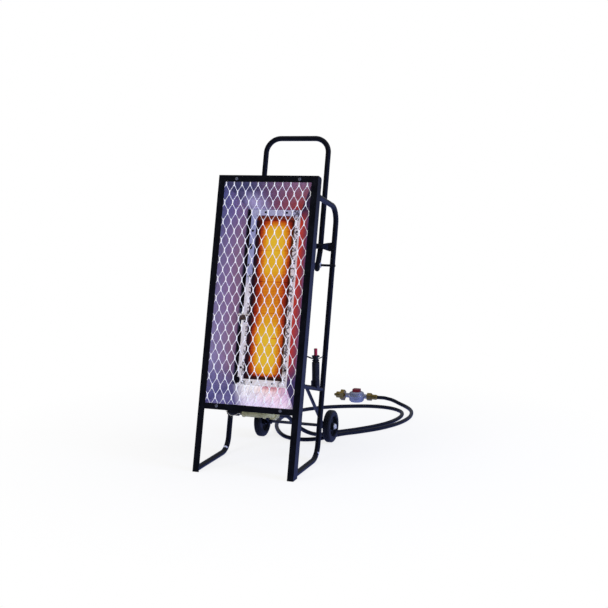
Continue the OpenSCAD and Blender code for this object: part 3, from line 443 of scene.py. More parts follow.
@dataclass(frozen=True)
class Moulded(Finish):
    """Moulded plastic, rubber and ceramic, and the slot's painted shade, with a fine skin."""

    base: str
    patch: str
    gloss: float = 0.42
    fineness: float = 1400.0
    depth: float = 0.2
    coat: float = 0.0

    def shade(self, g: Graph) -> Shade:
        """A speckled skin with faint handling marks."""
        colour, roughness = EFFECTS.patches(g, self.base, self.patch, 0.3, 70.0, self.gloss, 0.2)
        skin = EFFECTS.put(g, Effect.SPECKLE, {"Fineness": self.fineness})
        return Shade(
            colour, roughness, height=skin["Height"], bump=self.depth, rounding=0.0004, coat=self.coat, specular=0.35,
        )


class Sheet(Enum):
    """The four sheets of the reflector."""

    LEFT = "left"
    RIGHT = "right"
    TOP = "top"
    BOTTOM = "bottom"


@dataclass(frozen=True)
class SheetLook:
    """How one sheet is coloured with painted reflections of the room and painted burner glow, from the mouth to the
    burner; blend and ends are shares of its run.
    """

    inward: Vector
    first: Stops
    second: Stops
    blend: Pair
    ends: Sequence[tuple[float, float, str]] = ()
    glow: float = 0.06
    patches: float = 0.28
    metallic: float = 0.3
    specular: float = 0.5


# Painted reflections and painted burner glow on each sheet's inside: colour stops by depth, how they blend, darker
# painted end bands, and how strongly the inside glows with them.
LOOKS = {
    Sheet.LEFT: SheetLook(
        ACROSS, ((0.0, "#a4a4cc"), (0.5, "#a496c0"), (0.97, "#9a7a9c"), (1.0, "#2c2834")),
        ((0.0, "#62689a"), (0.45, "#8c7eb0"), (0.97, "#aa8eb4"), (1.0, "#3a3444")), (0.2, 0.95),
        ((0.2, 0.06, "#6c6a9c"),),
    ),
    Sheet.RIGHT: SheetLook(
        -ACROSS, ((0.0, "#8a6a94"), (0.3, "#8c3a4c"), (1.0, "#b83a34")),
        ((0.0, "#4c4270"), (0.35, "#8c3a44"), (1.0, "#cc4226")), (0.1, 0.75),
        ((0.838, 0.893, "#3c2c48"), (0.21, 0.12, "#453c66")), 0.16, 0.06, 0.0, 0.0,
    ),
    Sheet.TOP: SheetLook(
        -UP_THE_RAILS, ((0.0, "#4a4e74"), (0.6, "#5a5682"), (1.0, "#8078a8")),
        ((0.0, "#a47a98"), (0.5, "#ae6478"), (1.0, "#c23a2a")), (0.3, 0.8),
    ),
    Sheet.BOTTOM: SheetLook(
        UP_THE_RAILS, ((0.0, "#e4daf4"), (0.5, "#f8f6ff"), (1.0, "#ffffff")),
        ((0.0, "#eee2ff"), (0.5, "#ead2ff"), (1.0, "#c880a8")), (0.45, 0.85), glow=0.42,
    ),
}
MOUTH_DEPTH = 0.004
BURNER_DEPTH = 0.088
MOUTH_LOW = 0.198
MOUTH_HIGH = 0.839
MOUTH_HALF = 0.134


@dataclass(frozen=True)
class ReflectorFinish(Finish):
    """Polished sheet with painted reflections of the room and painted glow of the burner, deeper towards the burner.
    """

    sheet: Sheet = Sheet.LEFT

    def _colours(self, g: Graph, places: tuple[Socket, Socket, Socket]) -> Socket:
        """Painted reflections and painted burner glow over the sheet, by its depth and its place along or across the
        frame.
        """
        deep = g.span(places[1], MOUTH_DEPTH, BURNER_DEPTH)
        along = g.span(places[2], MOUTH_LOW, MOUTH_HIGH)
        across = g.span(places[0], -MOUTH_HALF, MOUTH_HALF)
        look = LOOKS[self.sheet]
        upright = self.sheet in (Sheet.LEFT, Sheet.RIGHT)
        blend = g.span(along if upright else across, *look.blend)
        tone = g.mix(blend, g.ramp(deep, look.first), g.ramp(deep, look.second))
        # Darker painted reflections near the sheet's ends.
        for start, end, colour in look.ends:
            tone = g.mix(g.span(along, start, end), tone, colour)
        if upright:
            return tone
        if self.sheet is Sheet.TOP:
            # Painted reflection: a pale patch towards the left of the top sheet.
            corner = g.level(across, ((0.1, 0.0), (0.26, 1.0), (0.5, 0.0)), True)
            return g.mix(g.product(corner, g.span(deep, 0.3, 0.7)), tone, "#d6d0f8")
        # Painted reflection of the burner's glow on the bottom sheet, near the burner.
        burner_glow_reflection = g.level(across, ((0.44, 0.0), (0.56, 1.0), (0.68, 1.0), (0.76, 0.0)), True)
        tone = g.mix(g.product(burner_glow_reflection, g.span(deep, 0.74, 0.96), 0.85), tone, "#b84a5a")
        # Painted reflection of the guard on the bottom sheet.
        tone = g.mix(g.product(self._mirrored_guard(g, places), 0.34), tone, "#8c84a4")
        # Painted reflection, darker towards the bottom sheet's sides.
        edge = g.calc("MULTIPLY_ADD", deep, 0.19, across)
        sides = g.calc("MAXIMUM", g.span(edge, 0.47, 0.34), g.span(across, 0.92, 0.99))
        return g.mix(sides, tone, "#5a5684")

    @staticmethod
    def _mirrored_guard(g: Graph, places: tuple[Socket, Socket, Socket]) -> Socket:
        """Crossing lines where the lower sheet mirrors the guard."""
        over, back = g.calc("DIVIDE", places[0], 0.025), g.calc("DIVIDE", places[1], 0.1)
        runs = [g.away(g.calc("FRACT", g.calc(way, over, back)), 0.5) for way in ("ADD", "SUBTRACT")]
        return g.calc("MAXIMUM", *(g.span(run, 0.10, 0.04) for run in runs))

    def shade(self, g: Graph) -> Shade:
        """Soft waves in a polished sheet whose inside carries and gives off painted reflections, with plain mill
        finish and a heat tint on its outside.
        """
        places = EFFECTS.place(g)
        look = LOOKS[self.sheet]
        normal = g.add("ShaderNodeNewGeometry").outputs["True Normal"]
        facing = g.vector("DOT_PRODUCT", normal, tuple(look.inward)).outputs["Value"]
        inside = g.span(facing, -0.02, 0.02)
        bright, sheen = EFFECTS.patches(g, self._colours(g, places), "#8d86a8", look.patches, 22.0, 0.3, 0.2)
        mill, dull = EFFECTS.patches(g, "#84868b", "#5f5c60", 0.7, 30.0, 0.42, 0.2)
        warm = EFFECTS.put(g, Effect.HEAT, {"Colour": mill, "Heat": g.span(places[1], 0.03, 0.12), "Amount": 0.5})
        lines = EFFECTS.put(g, Effect.GRAIN, {"Stretch": (1.0, 0.1, 0.1), "Fineness": 240.0})
        # The inside glows with its painted reflections.
        return Shade(
            g.mix(inside, warm["Colour"], bright), g.mix(inside, dull, sheen), look.metallic, lines["Height"],
            bump=0.12, bump_distance=0.0003, specular=look.specular, glow=g.mix(inside, "#000000", bright),
            glow_strength=look.glow,
        )


@dataclass(frozen=True)
class ClampFinish(Finish):
    """The burner's clamping frame: painted bright reflections, dark lace-like painted shadow and reflection of the
    guard, and a painted glow on its front.
    """

    # Painted shade: dark ovals round three screws on the left flange, as across, along and size in metres.
    ovals: tuple[Triple, ...] = ((-0.0715, 0.6639, 0.0056), (-0.0735, 0.608, 0.003), (-0.0745, 0.2718, 0.006))
    middle: float = 0.5165
    window_half: Pair = (0.062, 0.246)
    squat: float = 0.6
    lace: Pair = (60.0, 62.0)
    warp: float = 0.012

    def _lace(self, g: Graph, across: Socket, along: Socket) -> Socket:
        """Painted shadow and reflection of the guard: dark lines and blots on the right flange and low on the left
        one.
        """
        warp = g.add("ShaderNodeTexNoise", {"Vector": g.spot(), "Scale": self.lace[0], "Detail": 3.0}).outputs["Color"]
        shift = g.vector("MULTIPLY", warp, (self.warp,) * 3).outputs[0]
        bent = g.vector("ADD", g.spot(), shift).outputs[0]
        cells = g.add("ShaderNodeTexVoronoi", {"Vector": bent, "Scale": self.lace[1]}, feature="DISTANCE_TO_EDGE")
        lines = g.level(cells.outputs[0], ((0.0, 1.0), (0.07, 0.9), (0.13, 0.0)))
        blots = g.span(g.noise(46.0, 4.0, 0.6), 0.56, 0.64)
        marks = g.calc("MAXIMUM", lines, g.product(blots, 0.7))
        right = g.product(g.span(across, 0.046, 0.056), g.span(across, 0.0735, 0.0705))
        left = g.product(g.span(across, -0.0665, -0.0645), g.span(across, -0.046, -0.056), g.span(along, 0.62, 0.56))
        return g.product(marks, g.calc("MAXIMUM", right, left), 0.88)

    def shade(self, g: Graph) -> Shade:
        """Painted reflections, lavender above and white below, mottled by the guard's painted shadow along the right
        side, painted shade round three screws, a dark red-brown to orange window lip, and a painted glow on the front.
        """
        across, depth, along = EFFECTS.place(g)
        # Painted reflections: lavender on the upper left, near white lower down.
        lavender = g.product(g.span(across, -0.040, -0.060), g.span(along, 0.545, 0.585))
        bright = g.ramp(g.span(along, 0.26, 0.775), (
            (0.0, "#fffcff"), (0.5, "#f8f4fc"), (0.93, "#eee9f4"), (1.0, "#dcd5e4"),
        ))
        tone = g.mix(lavender, bright, "#aab0de")
        # Painted reflection: a pale blue band near the top.
        tone = g.mix(g.span(along, 0.752, 0.758), tone, "#bcbde0")
        tone = g.mix(self._lace(g, across, along), tone, "#2a2432")
        flat = g.add("ShaderNodeCombineXYZ", {0: across, 1: g.product(along, self.squat)}).outputs[0]
        # Painted shade round the three screws.
        for x, up, size in self.ovals:
            off = g.vector("DISTANCE", flat, (x, up * self.squat, 0.0)).outputs["Value"]
            tone = g.mix(g.span(off, size, size * 0.85), tone, "#0c0c12")
        # The window's lip: dark red-brown below along 0.744 and orange above it, brighter towards the tiles.
        wide, tall = self.window_half
        window = g.product(
            g.span(g.away(across, 0.0), wide + 0.5 * MM, wide - 0.5 * MM),
            g.span(g.away(along, self.middle), tall + MM, tall - MM),
        )
        inwards = g.span(depth, 0.0885, 0.098)
        window_lip = g.mix(
            g.span(along, 0.741, 0.747),
            g.ramp(inwards, ((0.0, "#1c1218"), (0.45, "#34161a"), (1.0, "#6a2410"))),
            g.ramp(inwards, ((0.0, "#6a2c1c"), (0.5, "#9a3c12"), (1.0, "#b04c14"))),
        )
        tone = g.mix(g.product(window, g.span(depth, 0.0879, 0.0886)), tone, window_lip)
        shaded = g.mix(g.span(across, -0.07, -0.05), "#141216", tone)
        tone = g.mix(g.span(depth, 0.0895, 0.0915), tone, shaded)
        heated = EFFECTS.put(g, Effect.HEAT, {
            "Colour": tone, "Heat": g.span(depth, BURNER_DEPTH, 0.104), "Amount": 0.2,
        })["Colour"]
        lines = EFFECTS.put(g, Effect.GRAIN, {"Stretch": (0.1, 1.0, 1.0), "Fineness": 380.0})
        # Painted glow: the front of the frame gives off its own colour.
        return Shade(
            heated, 0.34, 0.35, lines["Height"], bump=0.2, bump_distance=0.0003, rounding=0.0006,
            glow=g.mix(g.span(depth, 0.0882, 0.0876), "#000000", heated), glow_strength=0.14,
        )


@dataclass(frozen=True)
class GlowFinish(Finish):
    """Lit ceramic tiles: a fine screen of holes, hottest in two places and dull at the edges."""

    low: float = 0.2853
    half_tile: float = 0.04625
    crack: float = 0.3986

    def _heat(self, g: Graph, across: Socket, along: Socket) -> Socket:
        """Return the heat over the tiles, from 0 to 1."""
        up = g.level(g.span(along, 0.285, 0.747), (
            (0.0, 0.35), (0.03, 0.8), (0.1, 1.0), (0.27, 0.98), (0.38, 0.75), (0.5, 0.62), (0.6, 0.69),
            (0.7, 0.92), (0.84, 1.0), (0.94, 0.92), (0.98, 0.55), (1.0, 0.25),
        ), True)
        side = g.level(g.span(across, -0.052, 0.052), (
            (0.0, 0.2), (0.08, 0.4), (0.17, 0.66), (0.3, 0.94), (0.5, 1.0), (0.72, 0.94), (0.86, 0.66),
            (0.94, 0.42), (1.0, 0.3),
        ), True)
        return g.calc("ADD", g.product(up, side), g.wobble(26.0, 4.0, 0.24), clamp=True)

    def shade(self, g: Graph) -> Shade:
        """Heat less the holes, the seams between tiles and a crack, turned into the colour of the glow."""
        across, _, along = EFFECTS.place(g)
        heat = self._heat(g, across, along)
        flat = g.add("ShaderNodeCombineXYZ", {0: across, 2: along}).outputs[0]
        cells = g.add("ShaderNodeTexVoronoi", {"Vector": flat, "Scale": 230.0, "Randomness": 0.0})
        holes = g.span(cells.outputs["Distance"], 0.30, 0.18)
        dots = g.product(holes, g.level(heat, ((0.0, 0.55), (0.6, 0.35), (1.0, 0.12))))
        from_seam = g.calc("PINGPONG", g.calc("SUBTRACT", along, self.low), self.half_tile)
        seam = g.product(g.span(from_seam, 0.0009, 0.0003), 0.35)
        ends = g.product(g.span(across, 0.0051, 0.0081), g.span(across, 0.0338, 0.0308))
        crack = g.product(g.span(g.away(along, self.crack), 0.0016, 0.0006), ends, 0.4)
        marks = g.calc("MAXIMUM", dots, g.calc("MAXIMUM", seam, crack))
        glow = g.ramp(g.calc("SUBTRACT", heat, marks, clamp=True), (
            (0.0, "#1a0404"), (0.16, "#440c06"), (0.3, "#8a200c"), (0.44, "#b8480e"), (0.6, "#ce7a12"),
            (0.78, "#d49c1c"), (1.0, "#d8b430"),
        ))
        return Shade("#3a1408", 0.85, height=holes, bump=0.5, bump_distance=0.0006, specular=0.2, glow=glow)


EVEN = (1.0, 1.0, 1.0)
TURNED = (0.15, 1.0, 1.0)


class Paint:
    """Every finish of the heater."""

    FRAME = Enamel("Black frame enamel")
    # The foot tubes carry small painted highlights at their bends.
    FEET = {
        "side_tube_left": HighlightedEnamel(
            "Left foot painted highlights", highlight_spots=((0.1924, 0.0809, 0.0032), (0.1944, 0.0729, 0.0034)),
        ),
        "side_tube_right": HighlightedEnamel(
            "Right foot painted highlights", highlight_spots=((0.2047, 0.0791, 0.0026), (0.2057, 0.0711, 0.0034)),
        ),
    }
    ROD = Enamel("Black rod enamel", "#0d0f14", gloss=0.38)
    ZINC = Plated("Zinc plate", "#dcdde2", "#a4a6ae", 0.3, EVEN, metallic=0.3)
    DULL_ZINC = Plated("Dull zinc plate", "#74767e", "#4a4b52", 0.3, metallic=0.4)
    AXLE = Plated("Drawn axle steel", "#4a4c52", "#2c2d32", 0.36, (0.05, 1.0, 1.0), metallic=0.6)
    GUARD = Plated("Bright guard wire", "#ffffff", "#ebe6f0", 0.3, (1.0, 1.0, 0.2), metallic=0.0, rounding=0.0)
    OXIDE = Plated("Oxidised screw steel", "#2e2c32", "#141216", 0.45, amount=0.6)
    ALUMINISED = Plated("Aluminised sheet", "#8b8d93", "#626066", 0.48, amount=0.7, metallic=0.25)
    BRASS = Plated("Turned brass", "#c2a65a", "#8a763c", 0.24, TURNED)
    VALVE = Plated("Tarnished brass", "#d2cf9e", "#8f8f62", 0.34, TURNED, amount=0.6, metallic=0.25)
    CAST = Plated("Die cast zinc", "#c2c6d2", "#9599a8", 0.4, EVEN, 900.0, metallic=0.8)
    BRACKET = Plated("Heated bracket steel", "#b3a894", "#6d5a4c", 0.38, amount=0.7)
    PROBE = Plated("Heated probe", "#a68a5a", "#5c3f3a", 0.35, amount=0.8)
    WELD = Plated("Painted weld", "#15161b", "#2b2b30", 0.4, metallic=0.0)
    PORCELAIN = Moulded("Glazed ceramic", "#f1ede2", "#c9bfae", 0.2, depth=0.05, coat=0.5)
    PAPER = Moulded("Ceramic paper", "#ddd8cb", "#a8a090", 0.9, 500.0, 0.6)
    # Painted shade: a near-black skin for the dark slot left of the burner.
    SLOT_SHADE = Moulded("Slot painted shade", "#0b0a0c", "#221c1e", 0.95, 420.0, 0.8)
    BRAID = Moulded("Braided sleeve", "#e2ded2", "#b7b0a0", 0.8, 700.0, 0.8)
    BLACK = Moulded("Black moulding", "#121317", "#25262b", 0.35, coat=0.1)
    PLUG = Moulded("Black end plug", "#0e0f11", "#1d1e21", 0.5)
    HUB = Moulded("Black hub", "#15161a", "#303138", 0.4)
    RED = Moulded("Red button", "#9c1030", "#740a22", 0.22, depth=0.04, coat=0.4)
    CAP = Moulded("Dark red cap", "#6f1420", "#4a0d16", 0.45)
    TYRE = Moulded("Tyre rubber", "#101113", "#222327", 0.4, 800.0, 0.35)
    HOSE = Moulded("Hose rubber", "#080a14", "#121830", 0.34, depth=0.08, coat=0.08)
    CABLE = Moulded("Cable sleeve", "#0e0f12", "#202126", 0.38)
    CLAMP = ClampFinish("Clamping frame")
    GLOW = GlowFinish("Lit tiles")
    SHEETS = {sheet: ReflectorFinish(f"Reflector {sheet.value}", sheet=sheet) for sheet in Sheet}


def link(name: str, data: bpy.types.ID, finish: Finish | None = None) -> bpy.types.Object:
    """Put an object of this data in the scene.

    Args:
        name: the object's name.
        data: its mesh, curve, light or camera.
        finish: its finish, if it has one.

    Returns:
        The object.
    """
    made = bpy.data.objects.new(name, data)
    bpy.context.scene.collection.objects.link(made)
    if finish is not None:
        data.materials.append(finish.material())
    return made


def dress(finish: Finish, *nodes: str) -> None:
    """Give carried-over nodes their finish."""
    for node in nodes:
        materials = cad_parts[node].data.materials
        materials.clear()
        materials.append(finish.material())


def circle(middle: Vector, radius: float, first: Vector, second: Vector, steps: int) -> list[Vector]:
    """Return points round a middle.

    Args:
        middle: the middle, in metres.
        radius: the radius in millimetres.
        first: the direction in which it begins.
        second: the direction a quarter turn on.
        steps: how many stretches it has; the last point is the first one again.

    Returns:
        The points, in metres.
    """
    angles = (math.tau * k / steps for k in range(steps + 1))
    return [middle + (first * math.cos(a) + second * math.sin(a)) * radius * MM for a in angles]


BEAD_STEP = 0.5 * MM
BEAD_WAVE, BEAD_TURN = 0.14, 2.1
BEAD_UNEVEN, BEAD_FINENESS = 0.25, 260.0
BEAD_TIP, BEAD_GROWTH = 0.35, 0.3


@dataclass
class Shape:
    """Points and faces gathered for one piece, in metres."""

    points: list[Vector] = field(default_factory=list)
    faces: list[tuple[int, ...]] = field(default_factory=list)

    def lathe(self, profile: Sequence[Pair], place: Vector, axis: Vector,
              relief: Callable[[float, float, float], float], sides: int = 64) -> None:
        """Add a turned form.

        Args:
            profile: radius and height pairs in millimetres; a radius of 0 closes the form.
            place: where height 0 is, in metres.
            axis: the direction of growing height.
            relief: how much a point at these three places is raised, in millimetres.
            sides: points round the form.
        """
        turn = Vector((0, 0, 1)).rotation_difference(axis.normalized()).to_matrix()
        rings: list[list[int]] = []
        for radius, height in profile:
            ring = []
            for k in range(sides if radius > 0 else 1):
                a = math.tau * k / sides
                x, y = radius * math.cos(a), radius * math.sin(a)
                ring.append(len(self.points))
                self.points.append(place + turn @ (Vector((x, y, height + relief(x, y, height))) * MM))
            rings.append(ring * (sides // len(ring)))
        for low, high in zip(rings, rings[1:]):
            for k in range(sides):
                n = (k + 1) % sides
                corners = tuple(dict.fromkeys((low[k], low[n], high[n], high[k])))
                if len(corners) > 2:
                    self.faces.append(corners)

    def sweep(self, path: Sequence[Vector], radii: Sequence[float], sides: int = 8) -> None:
        """Add a round rod along a path.

        Args:
            path: its points, in metres.
            radii: its radius at each point, in metres.
            sides: points round the rod.
        """
        first, end = len(self.points), len(path) - 1
        side = (path[1] - path[0]).normalized().orthogonal().normalized()
        for i, point in enumerate(path):
            now = (path[min(i + 1, end)] - path[max(i - 1, 0)]).normalized()
            side = (side - now * side.dot(now)).normalized()
            over = now.cross(side)
            for k in range(sides):
                a = math.tau * k / sides
                self.points.append(point + (side * math.cos(a) + over * math.sin(a)) * radii[i])
        for a in range(first, first + end * sides, sides):
            for k in range(sides):
                n = (k + 1) % sides
                self.faces.append((a + k, a + n, a + sides + n, a + sides + k))
        self.faces.append(tuple(first + k for k in reversed(range(sides))))
        self.faces.append(tuple(first + end * sides + k for k in range(sides)))

    def bead(self, path: Sequence[Vector], radius: float, seed: int) -> None:
        """Add a rippled weld bead along a path, with tapered ends.

        Args:
            path: at least two points, in metres.
            radius: the bead's radius in millimetres.
            seed: shifts its irregularity.
        """
        run: list[Vector] = []
        for a, b in zip(path, path[1:]):
            steps = max(2, int((b - a).length / BEAD_STEP))
            run += [a.lerp(b, k / steps) for k in range(steps)]
        run.append(path[-1])
        radii = []
        for i, point in enumerate(run):
            rough = noise.noise(point * BEAD_FINENESS + Vector((seed, 0, 0)))
            ripple = 1 + BEAD_WAVE * math.sin(i * BEAD_TURN) + BEAD_UNEVEN * rough
            end = min(1.0, BEAD_TIP + min(i, len(run) - 1 - i) * BEAD_GROWTH)
            radii.append(radius * MM * ripple * end)
        self.sweep(run, radii)

    def piece(self, name: str, finish: Finish, body: str) -> bpy.types.Object:
        """Turn what was gathered into an object, shaded smoothly up to its sharp edges.

        Args:
            name: the piece's name.
            finish: its finish.
            body: the body it moves with.

        Returns:
            The object.
        """
        mesh = bpy.data.meshes.new(name)
        mesh.from_pydata([tuple(p) for p in self.points], [], self.faces)
        mesh.validate()
        work = bmesh.new()
        work.from_mesh(mesh)
        bmesh.ops.recalc_face_normals(work, faces=work.faces)
        work.to_mesh(mesh)
        work.free()
        mesh.shade_smooth()
        mesh.set_sharp_from_angle(angle=SHARP_ANGLE)
        made = link(name, mesh, finish)
        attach(made, body)
        return made


def spline(route: Sequence[Vector], steps: int = 6) -> list[Vector]:
    """Return points along a smooth curve through a route.

    Args:
        route: the points it passes through.
        steps: points to each stretch.

    Returns:
        The curve's points, ends included.
    """
    run: list[Vector] = []
    for i in range(len(route) - 1):
        b, c = route[i], route[i + 1]
        a = route[i - 1] if i > 0 else b * 2 - c
        d = route[i + 2] if i + 2 < len(route) else c * 2 - b
        square, cube = a * 2 - b * 5 + c * 4 - d, b * 3 - a - c * 3 + d
        for k in range(steps):
            t = k / steps
            run.append(0.5 * (b * 2 + (c - a) * t + square * t * t + cube * t ** 3))
    run.append(route[-1])
    return run


def cable(name: str, path: Sequence[Vector], radius: float, finish: Finish, body: str) -> bpy.types.Object:
    """Make a round cable as one open curve.

    Args:
        name: the piece's name.
        path: its points, in metres.
        radius: its radius in metres.
        finish: its finish.
        body: the body it rides on.

    Returns:
        The curve object.
    """
    curve = bpy.data.curves.new(name, "CURVE")
    curve.dimensions = "3D"
    curve.bevel_depth = radius
    curve.bevel_resolution = 6
    curve.use_fill_caps = True
    line = curve.splines.new("POLY")
    line.points.add(len(path) - 1)
    for spot, point in zip(line.points, path):
        spot.co = (*point, 1.0)
    line.use_smooth = True
    made = link(name, curve, finish)
    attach(made, body)
    return made


@dataclass(frozen=True)
class Lamp:
    """One soft square lamp: its place, side, power in watts and colour."""

    name: str
    place: Triple
    size: float
    power: float
    colour: Triple

    def hang(self, target: Triple) -> None:
        """Hang the lamp so that it faces a target."""
        light = bpy.data.lights.new(self.name, "AREA")
        light.shape = "SQUARE"
        light.size = self.size
        light.energy = self.power
        light.color = self.colour
        lamp = link(self.name, light)
        lamp.visible_glossy = False
        look = (Vector(target) - Vector(self.place)).to_track_quat("-Z", "Y").to_matrix().to_4x4()
        lamp.matrix_world = Matrix.Translation(self.place) @ look


@dataclass
class Studio:
    """Camera, floor, lights and world."""

    eye: Triple = (1.27397, -3.19534, 0.95991)
    yaw: float = 20.195
    pitch: float = 8.382
    roll: float = 0.324
    lens: float = 70.287
    floor_half: float = 9.0
    floor_top: float = -0.0004
    target: Triple = (0.0, 0.0, 0.5)
    lamps: tuple[Lamp, ...] = (
        Lamp("Key", (-1.6, -2.6, 2.6), 1.8, 48.0, (1.0, 0.98, 0.95)),
        Lamp("Blue side", (2.4, -0.4, 1.5), 1.2, 55.0, (0.45, 0.55, 1.0)),
    )
    floor_matt: Colour = (0.86, 0.86, 0.87, 1.0)
    floor_mirrored: Colour = (0.16, 0.21, 0.62, 1.0)
    shadow_middle: Triple = (0.03, 0.12, 0.0)
    room_dim: Colour = (0.10, 0.11, 0.14, 1.0)
    room_right: Colour = (0.42, 0.55, 1.5, 1.0)
    room_rear: Colour = (0.5, 0.53, 0.62, 1.0)
    room_top: Colour = (0.5, 0.52, 0.66, 1.0)
    room_floor: Colour = (1.2, 1.2, 1.25, 1.0)

    def camera(self) -> None:
        """Set the camera at the photograph's angle."""
        lens = bpy.data.cameras.new("Camera")
        lens.lens = self.lens
        lens.sensor_width = 36.0
        lens.clip_end = 60.0
        camera = link("Camera", lens)
        turn = Matrix.Identity(4)
        for degrees, axis in ((self.yaw, "Z"), (90.0 - self.pitch, "X"), (-self.roll, "Z")):
            turn = turn @ Matrix.Rotation(math.radians(degrees), 4, axis)
        camera.matrix_world = Matrix.Translation(self.eye) @ turn
        bpy.context.scene.camera = camera

    def floor(self) -> None:
        """Lay a plain pale floor that keeps a soft shadow."""
        h, z = self.floor_half, self.floor_top
        mesh = bpy.data.meshes.new("Floor")
        mesh.from_pydata([(-h, -h, z), (h, -h, z), (h, h, z), (-h, h, z)], [], [(0, 1, 2, 3)])
        floor = link("Floor", mesh)
        paint = bpy.data.materials.new("Pale floor")
        g = Graph.of(paint)
        path = g.add("ShaderNodeLightPath").outputs
        glossy = path["Is Glossy Ray"]
        matt = g.add("ShaderNodeBsdfDiffuse", {"Color": self.floor_matt})
        tone = g.mix(glossy, "#ffffff", self.floor_mirrored)
        white = g.add("ShaderNodeEmission", {"Color": tone, "Strength": 1.0})
        off = g.vector("DISTANCE", g.spot(), self.shadow_middle).outputs["Value"]
        far = g.level(g.span(off, 0.2, 1.1), ((0.0, 0.8), (0.5, 0.93), (1.0, 1.0)))
        share = g.calc("MAXIMUM", g.product(path["Is Camera Ray"], far), g.product(glossy, 0.9))
        mixed = g.add("ShaderNodeMixShader", {0: share, 1: matt.outputs[0], 2: white.outputs[0]})
        g.add("ShaderNodeOutputMaterial", {"Surface": mixed.outputs[0]})
        mesh.materials.append(paint)

    def world(self) -> None:
        """White to the eye, and a quiet even light on the object."""
        world = bpy.data.worlds.new("World")
        g = Graph.of(world)
        path = g.add("ShaderNodeLightPath").outputs
        seen = g.calc("MAXIMUM", path["Is Camera Ray"], path["Is Transmission Ray"])
        x, y, z = g.add("ShaderNodeSeparateXYZ", {0: g.add("ShaderNodeTexCoord").outputs["Generated"]}).outputs
        rear = g.product(g.span(y, 0.25, 0.6), g.span(z, -0.02, 0.06))
        room: Value = self.room_dim
        for share, colour in (
            (g.span(x, 0.35, 0.85), self.room_right), (rear, self.room_rear),
            (g.span(z, 0.45, 0.9), self.room_top), (g.span(z, -0.05, -0.3), self.room_floor),
        ):
            room = g.mix(share, room, colour)
        back = g.add("ShaderNodeBackground", {
            "Color": g.mix(path["Is Glossy Ray"], "#ffffff", room),
            "Strength": g.calc("MULTIPLY_ADD", seen, 0.5, 0.5),
        })
        g.add("ShaderNodeOutputWorld", {"Surface": back.outputs[0]})
        bpy.context.scene.world = world

    def build(self) -> None:
        """Set up everything but the object."""
        bpy.context.scene.view_settings.view_transform = "Standard"
        self.camera()
        self.floor()
        self.world()
        for lamp in self.lamps:
            lamp.hang(self.target)
        log.info("studio: camera, floor, world and %d lamps", len(self.lamps))


@dataclass
class GasHose:
    """Half-inch hose that lies in two loops behind the wheels."""

    diameter: float = 12.7
    length: float = 2.3
    elbow: Triple = (20.0, 183.05, 177.0)
    ahead: Triple = (20.0, 208.4, 177.0)
    before: Triple = (125.4, 745.0, 20.0)
    inlet: Triple = (100.05, 745.0, 20.0)
    route: tuple[Triple, ...] = (
        (22, 60, 98), (28, 104, 66), (38, 150, 36), (50, 196, 14), (68, 238, 2), (98, 284, 0), (146, 336, 0),
        (192, 398, 0), (226, 470, 0), (238, 548, 0), (222, 616, 0), (172, 658, 0), (104, 664, 0), (36, 642, 0),
        (-34, 606, 0), (-96, 548, 0), (-130, 474, 0), (-134, 394, 0), (-116, 318, 0), (-82, 246, 0), (-42, 192, 0),
        (-4, 170, 0), (34, 169, 0), (70, 190, 0), (98, 230, 0), (124, 272, 0), (172, 322, 0), (220, 384, 0),
        (256, 464, 0), (268, 550, 0), (254, 630, 0), (224, 686, 0), (188, 720, 3), (156, 737, 10),
    )
    carried: tuple[str, ...] = (
        "hose_end_regulator", "regulator_body", "regulator_cap", "regulator_screws", "inlet_nipple", "inlet_nut",
    )

    def path(self) -> list[Vector]:
        """Return the hose's points, in metres."""
        r = self.diameter / 2
        middle = [on_frame(*self.ahead)]
        middle += [Vector((x, y, z + r)) * MM for x, y, z in self.route]
        middle.append(Vector(self.before) * MM)
        run = spline(middle)
        for point in run:
            point.z = max(point.z, r * MM)
        return [on_frame(*self.elbow), *run, Vector(self.inlet) * MM]

    def build(self) -> None:
        path = self.path()
        hose = cable("gas_hose", path, self.diameter / 2 * MM, Paint.HOSE, "frame")
        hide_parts("hose")
        log.info("hose: %.3f m", sum((b - a).length for a, b in zip(path, path[1:])))


